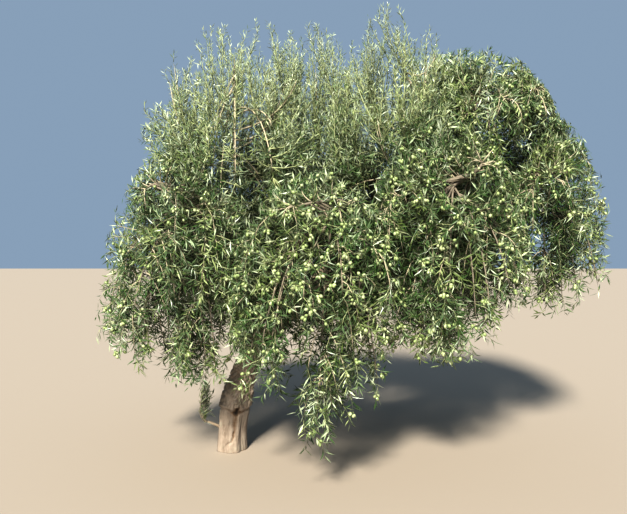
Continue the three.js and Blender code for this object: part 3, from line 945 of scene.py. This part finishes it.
@dataclass
class Scaffold:
    """The trunk and its boughs.

    Attributes:
        crown: The spaces that the boughs run into.
        out: Where a bough bends, as a share of the way out.
        rise: And of the way up.
        entry_margin: How far a bough runs into the space of its mass.
    """

    crown: Crown
    out: float = 0.38
    rise: float = 0.72
    entry_margin: float = 0.08
    limbs: dict[str, Limb] = field(default_factory=dict)

    def __post_init__(self) -> None:
        """Lays out every limb, parents first."""
        line = np.array(((0, 0, 0), (0, 0, 0.4), (0, 0, 0.8)))
        self.limbs["trunk"] = Trunk("trunk", line, base=0.108, tip=0.092, sides=144, rings=132)
        names = [space.name for space in self.crown.spaces]
        for fork in FORKS:
            start = self.limbs[fork.parent].middle(fork.at)
            end = self.entry(names.index(fork.carries))
            bend = mix(start, end, self.out)
            bend[2] = mix(start[2], end[2], self.rise)
            line = np.stack([start, bend, end])
            self.limbs[fork.name] = Limb(fork.name, line, fork.base, fork.tip, fork.carries)

    def entry(self, index: int) -> Array:
        """Gives where a mass's bough ends, drawn in until it lies well inside the mass's space.

        Args:
            index: Which space.

        Returns:
            The point.
        """
        space = self.crown.spaces[index]
        point = space.middle + space.inward * space.inset * space.radius[0]
        point[2] += space.entry * (space.up if space.entry > 0 else space.down)
        while not self.crown.holds(index, point, self.entry_margin):
            point = mix(point, space.middle, 0.05)
        return point

    def build(self) -> None:
        """Makes every limb's bark."""
        trunk_bark = BarkFinish("trunk_bark").material()
        bough_bark = BarkFinish(
            "bough_bark", ridge=(0.24, 0.19, 0.14), pale=(0.36, 0.3, 0.22), furrow_size=60, stretch=0.2,
            relief=0.003,
        ).material()
        for limb in self.limbs.values():
            limb.build(trunk_bark if isinstance(limb, Trunk) else bough_bark)

    def samples(self) -> tuple[Array, Array]:
        """Returns points along every limb and the radii there."""
        points, radii = zip(*(limb.samples() for limb in self.limbs.values()))
        return np.concatenate(points), np.concatenate(radii)


@dataclass(frozen=True)
class Growth:
    """How one habit grows its finer shoots.

    A pair of values holds low in the space and high.

    Attributes:
        twigs: Number of twigs in a full mass.
        twig_length: Length of the longest twigs.
        over: How far over its tip a twig starts, or under it where it is negative.
        bow: How far up or down a twig has come at its bend, as a share of its whole climb or drop.
        lift: How far it bows up on its way, as a share of its length.
        strands: One long strand hangs to every so many twigs on the outside, or 0 for none.
        strand_drop: How far over its tip a strand starts, at least and at most.
        strand_bow: As bow, for the strands.
        folds: Number of folds that hang round the mass.
        fold_depth: How deep they are, as a share of the way to its middle.
        thinning: Share of twigs that is left out at the top.
        shoot_gap: Distance between leafy shoots along a twig.
        shoot_length: Length of the longest leafy shoots.
        drop: How strongly leafy shoots hang, or climb where it is negative.
        spread: How far they stand off sideways.
        leaf_gap: Distance between pairs of leaves.
        leaf_length: Length of the longest leaves.
        leaf_width: Their width, as a share of their length.
        shrinking: Size of the highest shoots and leaves against the lowest.
        pairs_from: Where on a twig its own leaves begin.
    """

    twigs: int = 245
    twig_length: float = 0.6
    over: tuple[float, float] = (0.3, 0.06)
    bow: float = 0.1
    lift: float = 0.2
    strands: int = 3
    strand_drop: tuple[float, float] = (0.5, 1)
    strand_bow: float = -0.1
    folds: int = 8
    fold_depth: float = 0.3
    thinning: float = 0
    shoot_gap: float = 0.072
    shoot_length: float = 0.19
    drop: tuple[float, float] = (0.35, 0.05)
    spread: tuple[float, float] = (0.55, 0.65)
    leaf_gap: float = 0.0215
    leaf_length: float = 0.09
    leaf_width: float = 0.152
    shrinking: float = 1
    pairs_from: float = 0.25


GROWTHS = {
    Habit.WEEPING: Growth(),
    Habit.UPRIGHT: Growth(
        twigs=425, twig_length=0.95, over=(0.05, -0.45), bow=0.3, lift=0, strands=0, thinning=0.66,
        shoot_gap=0.09, shoot_length=0.16, drop=(0.1, -0.6), spread=(0.65, 0.35), leaf_gap=0.0205,
        leaf_length=0.08, pairs_from=0.05, shrinking=0.66,
    ),
    Habit.BASAL: Growth(
        twigs=7, twig_length=0.4, over=(-0.2, -0.25), bow=0.3, lift=0, strands=0, folds=2, fold_depth=0.7,
        shoot_gap=0.09, shoot_length=0.05, drop=(-0.6, -0.8), spread=(0.4, 0.35), leaf_gap=0.011,
        leaf_length=0.085, leaf_width=0.13, pairs_from=0.1,
    ),
}


class Mass:
    """One mass of foliage: its stem, branches, twigs, leafy shoots, leaves and olives."""

    SHOULDER = 0.55  # height from which shoots are all new growth, as a share of the dome
    STEM_SHARE = 0.9  # of the radius of the bough's tip
    STEM_END = 0.008
    STEM_BEND = 0.45  # how far up the stem bends over, as a share of the dome's height
    STEM_REACHES = np.arange(1, 0.3, -0.05)  # shares of its way that the stem tries to grow
    BRANCH_RADII = (0.008, 0.0035)
    SLIMMEST = 0.35  # least scale of the branches' radii
    BRANCH_STARTS = (0.05, 0.95)  # the stretch of the stem that bears branches
    BRANCH_TURN = 0.4  # how far a branch may stray from its even turn, in radians
    FLATTEST = 0.7  # least rise of an upright mass's climbing branches, as a share of their run
    BRANCH_BEND = 0.15  # how far before its end a branch bends, as a share of its way
    ARCH = 0.12  # how far a hanging branch climbs at first, as a share of the dome's height
    CLIMB = 0.3  # how much of its climb an upright branch has behind it at its bend
    BRANCH_TRIES = 25
    BRANCH_PULLS = (0.05, 0.03)  # how far its bend and its end are drawn to the middle at each try
    SHOOT_TRIES = 8
    SHOOT_PULLS = (0.015, 0.1)  # how far a shoot is drawn to the middle and to its start at each try
    SHOOT_STRAIGHTENING = 0.3
    TWIG_RADII = (0.0045, 0.0025)
    STATIONS = np.linspace(0.05, 1, 16)  # places along a branch where twigs may start
    TWIG_BEND = 0.6  # how far out a twig bends, as a share of its way
    TWIG_LEAD = 0.15  # how far it first goes on along its branch
    OUTERMOST = 0.72  # how far out in its space a twig has to end for a strand to hang beside it
    STRAND_HEIGHT = 0.5  # and up to which height
    SHOOT_RADII = (0.0026, 0.0016)
    BARE_BRANCH = 0.02  # share of a branch that bears no leafy shoots
    BARE_STEM = 0.35
    BARE_TWIG = 0.25
    SHOOT_SIZES = (0.55, 1)  # least and greatest length of leafy shoots
    SHOOT_TAPER = 0.7  # length of the last shoot along its parent, against the first
    SHOOT_LEAD = 0.35  # how far a shoot goes on along its parent
    SHOOT_OUT = 0.15  # and away from the middle of the space
    SHOOT_BOW = 0.15  # how far it bows up at its bend, as a share of its length
    SHOOT_RUN = 1.3  # how far it runs on to its end, against its run to its bend
    TURN_STRAY = 0.7  # how far a shoot strays from its even turn, in radians
    DROP_STRAY = 0.3
    SHADE_DEPTHS = (0.3, 0.7)  # where leafy shoots get few high in the mass, and where none is left out
    FRUIT_DEPTH = 0.74  # how far out in its space a shoot has to be to bear olives
    CLUSTER = (2, 6)  # least number of olives in a cluster, and one more than the most
    STALK_RADIUS = 0.0014
    RAGGED = (0.26, 0.18)  # how ragged the surface is low in the mass and high
    SEAM = 1.25  # how near to another space's depth a point is filled in as a seam
    SEAM_HEIGHT = 0.2  # and from which height
    SEAM_DEPTH = 0.97  # how far out a seam is filled
    BOWL_DEPTH = 0.96  # how far out the bottom of the bowl is filled
    POINT_ROOM = 0.08  # how much wider a trailing bowl's point is, as a share of the radius
    TIP_MARGIN = 0.07  # how far a branch keeps from the walls of the space
    TWIG_MARGIN = 0.015
    SHOOT_MARGIN = 0.01
    LEAF_MARGIN = 0.002
    LEAF_ANGLES = (70, 42)  # how far leaves open at the foot of a shoot and at its tip, in degrees
    LEAF_STRAY = (0.35, 14)  # how far they stray in turn, in radians, and in opening, in degrees
    LEAF_LIFT = 0.1
    LEAF_FACING = (0.6, 0.6, 0.7)  # how far their upper faces look out, up and anywhere
    LEAF_SIZES = (0.72, 1)  # least and greatest length
    LEAF_TAPER = 0.8  # length of the last leaf on a shoot, against the first
    LEAF_WIDTHS = (0.85, 1.15)
    FIRST_LEAF = 0.08  # where on a leafy shoot its leaves begin
    INSIDE = (2.2, 0.75)  # how fast the darkest tone, painted shade on old leaves, gives way towards the surface, and how soon
    PATCH_GRAIN = 6  # how fine the patches of one tone are
    WARMTH = (0.45, 0.5, 0.6)  # its middle, and how far patches and chance move it
    YOUNG_LOW = 0.3  # share of new leaves low in an upright mass
    OLIVE_SIZES = (0.85, 1.1)
    CLUSTER_SPREAD = 0.3  # how far along its shoot a cluster of olives is spread
    OLIVE_SWING = 0.6  # how far olives hang askew

    def __init__(self, index: int, crown: Crown, limb: Limb, samples: tuple[Array, Array]) -> None:
        """Grows the mass's shoots.

        Args:
            index: The number of its space.
            crown: All the spaces.
            limb: The bough that carries it.
            samples: Points along every limb and the radii there.
        """
        self.index = index
        self.seed = index + 1
        self.crown = crown
        self.space = crown.spaces[index]
        self.centre = self.space.middle
        self.limb = limb
        reach = max(*self.space.radius, self.space.up, self.space.down) + 0.1
        near = np.linalg.norm(samples[0] - self.centre, axis=1) < reach
        self.limb_points, self.limb_radii = samples[0][near], samples[1][near]
        self.growth = GROWTHS[self.space.habit]
        self.random = np.random.default_rng(self.seed)
        self.stem = self.grow_stem()
        self.branches = self.grow_branches()
        self.twigs = self.grow_twigs()
        self.shoots = self.grow_shoots()

    def depth(self, points: Array) -> Array:
        """Returns how deep points lie in the mass's space: 0 in its middle, 1 on its surface."""
        return self.crown.depths(self.index, points)[0]

    def tall(self, points: Array) -> Array:
        """Returns how high points are in the dome, 0 from its rim down and 1 from its shoulder up."""
        return np.clip((points[..., 2] - self.centre[2]) / (self.SHOULDER * self.space.up), 0, 1)

    def clear(self, points: Array, radius: float) -> Array:
        """Tells which points stay clear of the limbs.

        Args:
            points: Points, shaped (..., 3).
            radius: How thick what grows there is.

        Returns:
            True or False for each point.
        """
        if not len(self.limb_points):
            return np.ones(points.shape[:-1], dtype=bool)
        gaps = np.linalg.norm(points[..., None, :] - self.limb_points, axis=-1) - self.limb_radii
        return gaps.min(axis=-1) > radius + LIMB_CLEARANCE

    def fits(self, bends: Array, margin: float, radius: float) -> Array:
        """Tells which bent shoots stay in the space and clear of the limbs past their starts."""
        points = arc(bends[:, None], np.linspace(0, 1, 7)[2:])
        held = self.crown.holds(self.index, points, margin).all(axis=1)
        held[held] = self.clear(points[held], radius).all(axis=1)
        return held

    def grow_stem(self) -> Shoots:
        """Grows the stem straight on from the bough's tip and over the top of the space."""
        space, start = self.space, self.limb.middle(1)
        goal = self.centre - space.inward * space.over * space.radius[0]
        goal[2] += space.top * space.up
        for reach in self.STEM_REACHES:
            bend = start + self.limb.way(1) * self.STEM_BEND * reach * space.up
            line = np.stack([start, bend, mix(start, goal, reach)])
            if self.crown.holds(self.index, arc(line, np.linspace(0, 1, 9)[1:]), self.TIP_MARGIN).all():
                break
        return Shoots(line[None], self.STEM_SHARE * self.limb.tip, self.STEM_END * space.scale)

    def grow_branches(self) -> Shoots:
        """Grows the branches, which end all round the space and hang or climb to get there."""
        grown = [self.branch(n) for n in range(self.space.branches)]
        scale = max(self.space.scale, self.SLIMMEST)
        return Shoots(
            np.array([line for line in grown if line is not None]),
            *(radius * scale for radius in self.BRANCH_RADII),
        )

    def branch(self, n: int) -> Array | None:
        """Lays out branch n, drawn in towards the middle of the space until it fits.

        Args:
            n: The branch's number, which gives its way round and its height.

        Returns:
            Its start, bend and end, or None where it has no room.
        """
        space = self.space
        random = stream(self.seed, n)
        turn = n * GOLDEN_ANGLE + self.seed + self.BRANCH_TURN * (random() - 0.5)
        tall = mix(space.lowest, space.highest, share(n + 1, SECOND_SHARE))
        out = math.sqrt(1 - tall * tall)
        start = arc(self.stem.bends[0], mix(*self.BRANCH_STARTS, share(n + 1, GOLDEN_SHARE)))
        rim = (out * space.radius[0] * math.cos(turn), out * space.radius[1] * math.sin(turn))
        end = self.centre + (*rim, tall * (space.up if tall > 0 else space.down))
        if space.trailing and n == space.branches - 1:
            end = np.array(space.trailing)
        bend = mix(end, start, self.BRANCH_BEND)
        hangs = end[2] < start[2]
        flat = end[2] - start[2] < self.FLATTEST * np.hypot(*(end - start)[:2])
        if space.habit is Habit.UPRIGHT and flat and not hangs:
            return None
        bend[2] = start[2] + self.ARCH * space.up if hangs else mix(start[2], end[2], self.CLIMB)
        for _ in range(self.BRANCH_TRIES):
            line = np.stack([start, bend, end])
            if self.fits(line[None], self.TIP_MARGIN, self.BRANCH_RADII[0])[0]:
                return line
            bend = mix(bend, self.centre, self.BRANCH_PULLS[0])
            end = mix(end, self.centre, self.BRANCH_PULLS[1])
        return None

    def settled(self, bends: Array, margin: float) -> Array:
        """Draws shoots in towards their starts until they fit, and drops those that never do."""
        to_middle, to_start = self.SHOOT_PULLS
        fitting = np.zeros(len(bends), dtype=bool)
        for _ in range(self.SHOOT_TRIES):
            open_ones = np.flatnonzero(~fitting)
            if not len(open_ones):
                break
            fitting[open_ones] = self.fits(bends[open_ones], margin, self.SHOOT_RADII[0])
            short = open_ones[~fitting[open_ones]]
            start = bends[short, 0]
            end = mix(mix(bends[short, 2], self.centre, to_middle), start, to_start)
            bend = mix(bends[short, 1], start, to_start)
            bends[short, 1] = mix(bend, (start + end) / 2, self.SHOOT_STRAIGHTENING)
            bends[short, 2] = end
        return bends[fitting]

    def goals(self) -> Array:
        """Spreads the twigs' tips evenly through the space, more of them towards its surface."""
        space, growth, random = self.space, self.growth, self.random
        wanted = round(growth.twigs * space.fullness)
        shares = share(np.arange(1, 12 * wanted)[:, None], SPREAD_SHARES)
        lowest = self.centre - (*space.radius, space.down)
        highest = self.centre + (*space.radius, space.up)
        points = mix(lowest, highest, shares)
        held = self.crown.holds(self.index, points, self.TWIG_MARGIN)
        depth, other = self.crown.depths(self.index, points)
        tall = self.tall(points)
        away = points - self.centre
        turn = np.arctan2(away[:, 1], away[:, 0])
        folds = np.sin(growth.folds * turn + self.seed + np.sin(3 * turn + 5 * away[:, 2]))
        surface = 1 - growth.fold_depth * (0.5 - 0.5 * folds) * (1 - tall)
        ragged = surface - mix(*self.RAGGED, tall) * (1 - random.random(len(points)) ** 2)
        low = np.clip(-away[:, 2] / space.down, 0, 1)
        level = np.hypot(*(away[:, :2] / space.radius).T)
        if space.trailing:
            off = points[:, :2] - mix(self.centre[:2], np.array(space.trailing[:2]), low[:, None])
            level = np.hypot(*(off / space.radius).T) + 1 - (1 - low) ** 2 - self.POINT_ROOM
        outer = depth / np.minimum(1, other) > random.random(len(points)) ** 0.5
        seam = (other < self.SEAM * depth) & (tall > self.SEAM_HEIGHT)
        room = np.maximum(np.where(seam, self.SEAM_DEPTH, ragged), self.BOWL_DEPTH * low)
        thick = random.random(len(points)) > growth.thinning * tall
        return points[held & outer & (depth < room) & (level < 1) & thick][:wanted]

    def grow_twigs(self) -> Shoots:
        """Grows a twig to each goal from the place on a branch that suits the habit best."""
        growth = self.growth
        goals = self.goals()
        over = mix(*growth.over, self.tall(goals))
        bends = self.twigs_to(goals, over, growth.twig_length, growth.bow)
        if growth.strands:
            outer = (self.depth(goals) > self.OUTERMOST) & (self.tall(goals) < self.STRAND_HEIGHT)
            outer = goals[outer][:: growth.strands]
            drop = mix(*growth.strand_drop, self.random.random(len(outer)))
            strands = self.twigs_to(outer, drop, 2 * growth.twig_length, growth.strand_bow)
            bends = np.concatenate([bends, strands])
        return Shoots(bends, *self.TWIG_RADII)

    def twigs_to(self, goals: Array, over: Array, longest: float, bow: float) -> Array:
        """Lays out a twig to each goal.

        Args:
            goals: Where the twigs' tips are.
            over: How far over each goal its twig ought to start.
            longest: Length of the longest twigs.
            bow: How far down a twig has come at its bend, as a share of its whole drop.

        Returns:
            The twigs that have room, shaped (n, 3, 3).
        """
        parents = np.concatenate([self.branches.bends, self.stem.bends])[:, None]
        starts = arc(parents, self.STATIONS).reshape(-1, 3)
        ways = heading(parents, self.STATIONS).reshape(-1, 3)
        best = goals + over[:, None] * UP
        nearest = np.linalg.norm(best[:, None] - starts, axis=2).argmin(axis=1)
        start, way = starts[nearest], ways[nearest]
        span = goals - start
        span *= np.minimum(1, longest / np.linalg.norm(span, axis=1, keepdims=True))
        length = np.linalg.norm(span, axis=1, keepdims=True)
        out = (self.TWIG_BEND, self.TWIG_BEND, bow)
        bend = start + span * out + length * (self.TWIG_LEAD * way + self.growth.lift * UP)
        return self.settled(np.stack([start, bend, start + span], axis=1), self.TWIG_MARGIN)

    def grow_shoots(self) -> Shoots:
        """Grows the leafy shoots off the twigs, turned evenly round them."""
        growth, random = self.growth, self.random
        branches = later_part(self.branches.bends, self.BARE_BRANCH)
        stem = later_part(self.stem.bends, self.BARE_STEM)
        parents = np.concatenate([self.twigs.bends, branches, stem])
        counts = np.maximum(1, np.round(lengths(parents) / growth.shoot_gap)).astype(int)
        parent, order = numbered(counts)
        along = mix(self.BARE_TWIG, 1, (order + random.random(len(parent))) / counts[parent])
        start = arc(parents[parent], along)
        if self.space.habit is Habit.WEEPING:
            shade = mix(*self.SHADE_DEPTHS, random.random(len(parent))) * self.tall(start) ** 0.5
            lit = self.depth(start) > shade
            start, along, parent, order = start[lit], along[lit], parent[lit], order[lit]
        count = len(start)
        way = heading(parents[parent], along)
        turn = order * GOLDEN_ANGLE + parent + self.TURN_STRAY * random.standard_normal(count)
        tall = self.tall(start)[:, None]
        drop = mix(*growth.drop, tall) + self.DROP_STRAY * random.standard_normal((count, 1))
        length = growth.shoot_length * mix(*self.SHOOT_SIZES, random.random(count))
        length = (length * mix(1, self.SHOOT_TAPER, along))[:, None] * mix(1, growth.shrinking, tall)
        sideways = mix(*growth.spread, tall) * turned(way, turn)
        way = self.SHOOT_LEAD * way + sideways + self.SHOOT_OUT * unit(start - self.centre)
        bend = start + length * (way + self.SHOOT_BOW * UP)
        end = start + length * (way * self.SHOOT_RUN - drop * UP)
        bends = self.settled(np.stack([start, bend, end], axis=1), self.SHOOT_MARGIN)
        return Shoots(bends, *self.SHOOT_RADII)

    def build(self, palette: "Palette") -> None:
        """Makes the mass's pieces from the materials of leaves, twigs and olives."""
        self.build_twigs(palette.twigs)
        self.build_leaves(palette.leaves)
        if self.space.olives:
            self.build_olives(palette.olives)

    def build_twigs(self, finishes: list[Material]) -> None:
        """Makes one piece of the stem, branches, twigs and leafy shoots."""
        young = int(self.space.habit is Habit.UPRIGHT)
        batches = [
            self.stem.arrays(8, 12, 0), self.branches.arrays(5, 9, young), self.twigs.arrays(3, 4, 1 + young),
            self.shoots.arrays(3, 2, 2),
        ]
        Piece(self.space.name, "twigs", "twigs", finishes).from_arrays(joined(batches), smooth=True)

    def build_leaves(self, finishes: list[Material]) -> None:
        """Makes one piece of the leaves, in pairs along the twigs and leafy shoots."""
        firsts = [(self.twigs, self.growth.pairs_from), (self.shoots, self.FIRST_LEAF)]
        batches = [self.leaf_pairs(shoots.bends, first) for shoots, first in firsts]
        slot = "young_leaves" if self.space.habit is Habit.UPRIGHT else "leaves"
        Piece(self.space.name, "leaves", slot, finishes).from_arrays(joined(batches), smooth=False)

    def tones(self, lines: Array) -> Array:
        """Deals out a tone to each shoot: the darkest tone, painted shade on old leaves, deep inside, and new
        leaves high in an upright mass.
        """
        tips, count, random = lines[:, 2], len(lines), self.random
        fast, soon = self.INSIDE
        # Painted shade: the deeper inside the space a shoot ends, the likelier it gets the darkest tone
        deep = random.random(count) > fast * self.depth(tips) - soon
        patch = np.sin(self.PATCH_GRAIN * tips + self.seed).prod(axis=1)
        middle, by_patch, by_chance = self.WARMTH
        warmth = np.clip(middle + by_patch * patch + by_chance * (random.random(count) - 0.5), 0, 0.99)
        old = np.where(deep, 0, 1 + (warmth * (len(LEAF_TONES) - 1)).astype(int))
        new = random.integers(0, len(YOUNG_TONES), count) + len(LEAF_TONES)
        upright = self.space.habit is Habit.UPRIGHT
        share_new = mix(self.YOUNG_LOW, 1, self.tall(tips)) if upright else self.space.young
        return np.where(random.random(count) < share_new, new, old)

    def leaf_pairs(self, lines: Array, first: float) -> MeshArrays:
        """Lays out opposite pairs of leaves, each pair turned a quarter from the last.

        Args:
            lines: The shoots that bear them.
            first: Where on a shoot the first pair stands.

        Returns:
            The arrays of one mesh.
        """
        growth, random = self.growth, self.random
        counts = np.maximum(2, np.round(lengths(lines) * (1 - first) / growth.leaf_gap)).astype(int)
        shoot, number = numbered(counts * 2)
        pair, twin, count = number // 2, number % 2, len(shoot)
        along = mix(first, 1, (pair + 1) / counts[shoot])
        at, way = arc(lines[shoot], along), heading(lines[shoot], along)
        turn_stray, stray = self.LEAF_STRAY
        turn = pair * math.pi / 2 + twin * math.pi + shoot + turn_stray * random.standard_normal(count)
        opened = np.radians(mix(*self.LEAF_ANGLES, along) + stray * random.standard_normal(count))[:, None]
        blade = unit(np.cos(opened) * way + np.sin(opened) * turned(way, turn) + self.LEAF_LIFT * UP)
        out, up, anywhere = self.LEAF_FACING
        facing = out * unit(at - self.centre) + up * UP + anywhere * random.standard_normal((count, 3))
        across = unit(np.cross(blade, facing))
        size = growth.leaf_length * mix(*self.LEAF_SIZES, random.random(count))
        size *= mix(1, self.LEAF_TAPER, along) * mix(1, growth.shrinking, self.tall(at))
        ends = np.stack([at + blade * size[:, None] * part for part in (0.5, 1)], axis=1)
        keep = self.crown.holds(self.index, ends, self.LEAF_MARGIN).all(axis=1)
        keep[keep] = self.clear(ends[keep], 0).all(axis=1)
        width = size * growth.leaf_width * mix(*self.LEAF_WIDTHS, random.random(count))
        upper = np.cross(across, blade)
        axes = np.stack([across * width[:, None], blade * size[:, None], upper * size[:, None]], axis=1)
        tone = (self.tones(lines) * 2)[shoot]
        return Leaf.stamp().arrays(axes[keep], at[keep], tone[keep])

    def build_olives(self, finishes: list[Material]) -> None:
        """Makes one piece of the olives, which hang on short stalks along the leafy shoots."""
        random, tips = self.random, self.shoots.bends[:, 2]
        outside = self.depth(tips) > self.FRUIT_DEPTH
        bearing = np.flatnonzero(outside & (random.random(len(outside)) < self.space.olives))
        counts = random.integers(*self.CLUSTER, len(bearing))
        shoot = np.repeat(bearing, counts)
        along = np.repeat(random.random(len(bearing)), counts)
        along += self.CLUSTER_SPREAD * (random.random(len(shoot)) - 0.5)
        at = arc(self.shoots.bends[shoot], np.clip(along, 0, 1))
        down = unit(self.OLIVE_SWING * random.standard_normal((len(shoot), 3)) - UP)
        size = Olive.LENGTH * mix(*self.OLIVE_SIZES, random.random(len(shoot)))[:, None]
        hung = at + down * (Olive.STALK + size * 0.5)
        keep = self.crown.holds(self.index, hung, Olive.LENGTH) & self.clear(hung, Olive.LENGTH * 0.5)
        at, down, size, hung = at[keep], down[keep], size[keep], hung[keep]
        level, rise = square_to(down)
        axes = np.stack([level * size, rise * size, down * size], axis=1)
        stalks = Shoots(np.stack([at, (at + hung) / 2, hung], axis=1), self.STALK_RADIUS, self.STALK_RADIUS)
        fruit = Olive.stamp().arrays(axes, hung, random.integers(0, 2, len(at)))
        batches = [fruit, stalks.arrays(3, 1, 2)]
        Piece(self.space.name, "olives", "olives", finishes).from_arrays(joined(batches), smooth=True)
        log.info("%s: %d olives", self.space.name, len(at))


class Leaf:
    """The blade of one leaf: a slim closed roof, folded along its midrib."""

    WIDEST = 0.44  # share of the length where it is widest
    RIDGE = 0.03  # how far the midrib stands over the edges, as a share of the length

    @classmethod
    def stamp(cls) -> Stamp:
        """Makes the blade, one wide and one long, with its root at the origin and its tip along +Y."""
        shape = bmesh.new()
        root = shape.verts.new((0, 0, 0))
        tip = shape.verts.new((0, 1, 0))
        left, right = (shape.verts.new((x, cls.WIDEST, -cls.RIDGE)) for x in (-0.5, 0.5))
        upper = [(root, right, tip), (root, tip, left)]
        under = [(root, left, right), (left, tip, right)]
        for side, faces in enumerate((upper, under)):
            for corners in faces:
                shape.faces.new(corners).material_index = side
        bmesh.ops.recalc_face_normals(shape, faces=shape.faces[:])
        return Stamp.of(shape)


class Olive:
    """One olive, longer than it is wide, that hangs along its axis."""

    LENGTH = 0.03
    WIDTH = 0.76  # as a share of the length
    STALK = 0.012

    @classmethod
    def stamp(cls) -> Stamp:
        """Makes the fruit, one long, round its own middle."""
        shape = bmesh.new()
        bmesh.ops.create_icosphere(shape, subdivisions=1, radius=0.5)
        bmesh.ops.scale(shape, verts=shape.verts[:], vec=(cls.WIDTH, cls.WIDTH, 1))
        return Stamp.of(shape)


class Palette:
    """The materials that are dealt out among leaves, twigs and olives."""

    def __init__(self) -> None:
        """Makes every material once."""
        self.leaves = [side.material() for tone in LEAF_TONES + YOUNG_TONES for side in tone]
        self.olives = [tone.material() for tone in OLIVE_TONES]
        self.twigs = [tone.material() for tone in TWIG_TONES]


@dataclass
class Studio:
    """The plain floor, the soft light and the camera.

    Attributes:
        eye: Where the camera stands.
        pitch: How far it looks down, in degrees.
        lens: Its focal length for a sensor 36 mm wide.
        floor_size: Width of the floor.
        floor_paint: The floor's pale colour.
        key_strength: Strength of the key light.
        key_colour: Its colour.
        key_width: How soft it is, as the angle that it is seen under, in degrees.
        key_turn: How far it is tipped and turned, in degrees.
        room: Colour of the light from all round.
        exposure: The camera's exposure.
        gamma: How much it deepens the shades.
    """

    eye: tuple[float, float, float] = (0.628, -4.72, 1.6)
    pitch: float = 1.57
    lens: float = 35.6
    floor_size: float = 60
    floor_paint: Colour = (0.335, 0.29, 0.24)
    key_strength: float = 7.4
    key_colour: Colour = (1, 0.95, 0.86)
    key_width: float = 9
    key_turn: tuple[float, float, float] = (52, 0, -14)
    room: Colour = (0.245, 0.32, 0.41)
    exposure: float = 0.5
    gamma: float = 0.75

    def build(self) -> None:
        """Makes the floor, the lights, the backdrop's colour and the camera."""
        self.build_floor()
        self.build_lights()
        self.build_camera()

    def build_floor(self) -> None:
        """Lays the plain pale floor."""
        shape = bmesh.new()
        bmesh.ops.create_grid(shape, x_segments=1, y_segments=1, size=self.floor_size / 2)
        mesh = bpy.data.meshes.new("floor")
        shape.to_mesh(mesh)
        shape.free()
        mesh.materials.append(PlainFinish("floor_paint", self.floor_paint, 0.9).material())
        floor = bpy.data.objects.new("floor", mesh)
        bpy.context.scene.collection.objects.link(floor)

    def build_lights(self) -> None:
        """Hangs a broad key light high on the left in front, and lights the room softly."""
        key = bpy.data.lights.new("key", "SUN")
        key.energy = self.key_strength
        key.angle = math.radians(self.key_width)
        key.color = self.key_colour
        lamp = bpy.data.objects.new("key", key)
        lamp.rotation_euler = [math.radians(turn) for turn in self.key_turn]
        bpy.context.scene.collection.objects.link(lamp)
        world = bpy.data.worlds.new("room")
        world.use_nodes = True
        world.node_tree.nodes["Background"].inputs["Color"].default_value = (*self.room, 1)
        bpy.context.scene.world = world
        view = bpy.context.scene.view_settings
        view.view_transform = "Standard"
        view.exposure = self.exposure
        view.gamma = self.gamma

    def build_camera(self) -> None:
        """Stands the camera where the photograph was taken from."""
        lens = bpy.data.cameras.new("camera")
        lens.lens = self.lens
        lens.sensor_width = 36
        lens.clip_end = 200
        camera = bpy.data.objects.new("camera", lens)
        camera.location = self.eye
        camera.rotation_euler = (math.radians(90 - self.pitch), 0, 0)
        bpy.context.scene.collection.objects.link(camera)
        bpy.context.scene.camera = camera


def main() -> None:
    """Builds the tree and the studio in order."""
    logging.basicConfig(level=logging.INFO, format="%(message)s")
    noise.seed_set(NOISE_SEED)
    Studio().build()
    crown = Crown(SPACES)
    scaffold = Scaffold(crown)
    scaffold.build()
    palette = Palette()
    samples = scaffold.samples()
    carriers = {limb.carries: limb for limb in scaffold.limbs.values() if limb.carries}
    for index, space in enumerate(SPACES):
        Mass(index, crown, carriers[space.name], samples).build(palette)


if __name__ == "__main__":
    main()
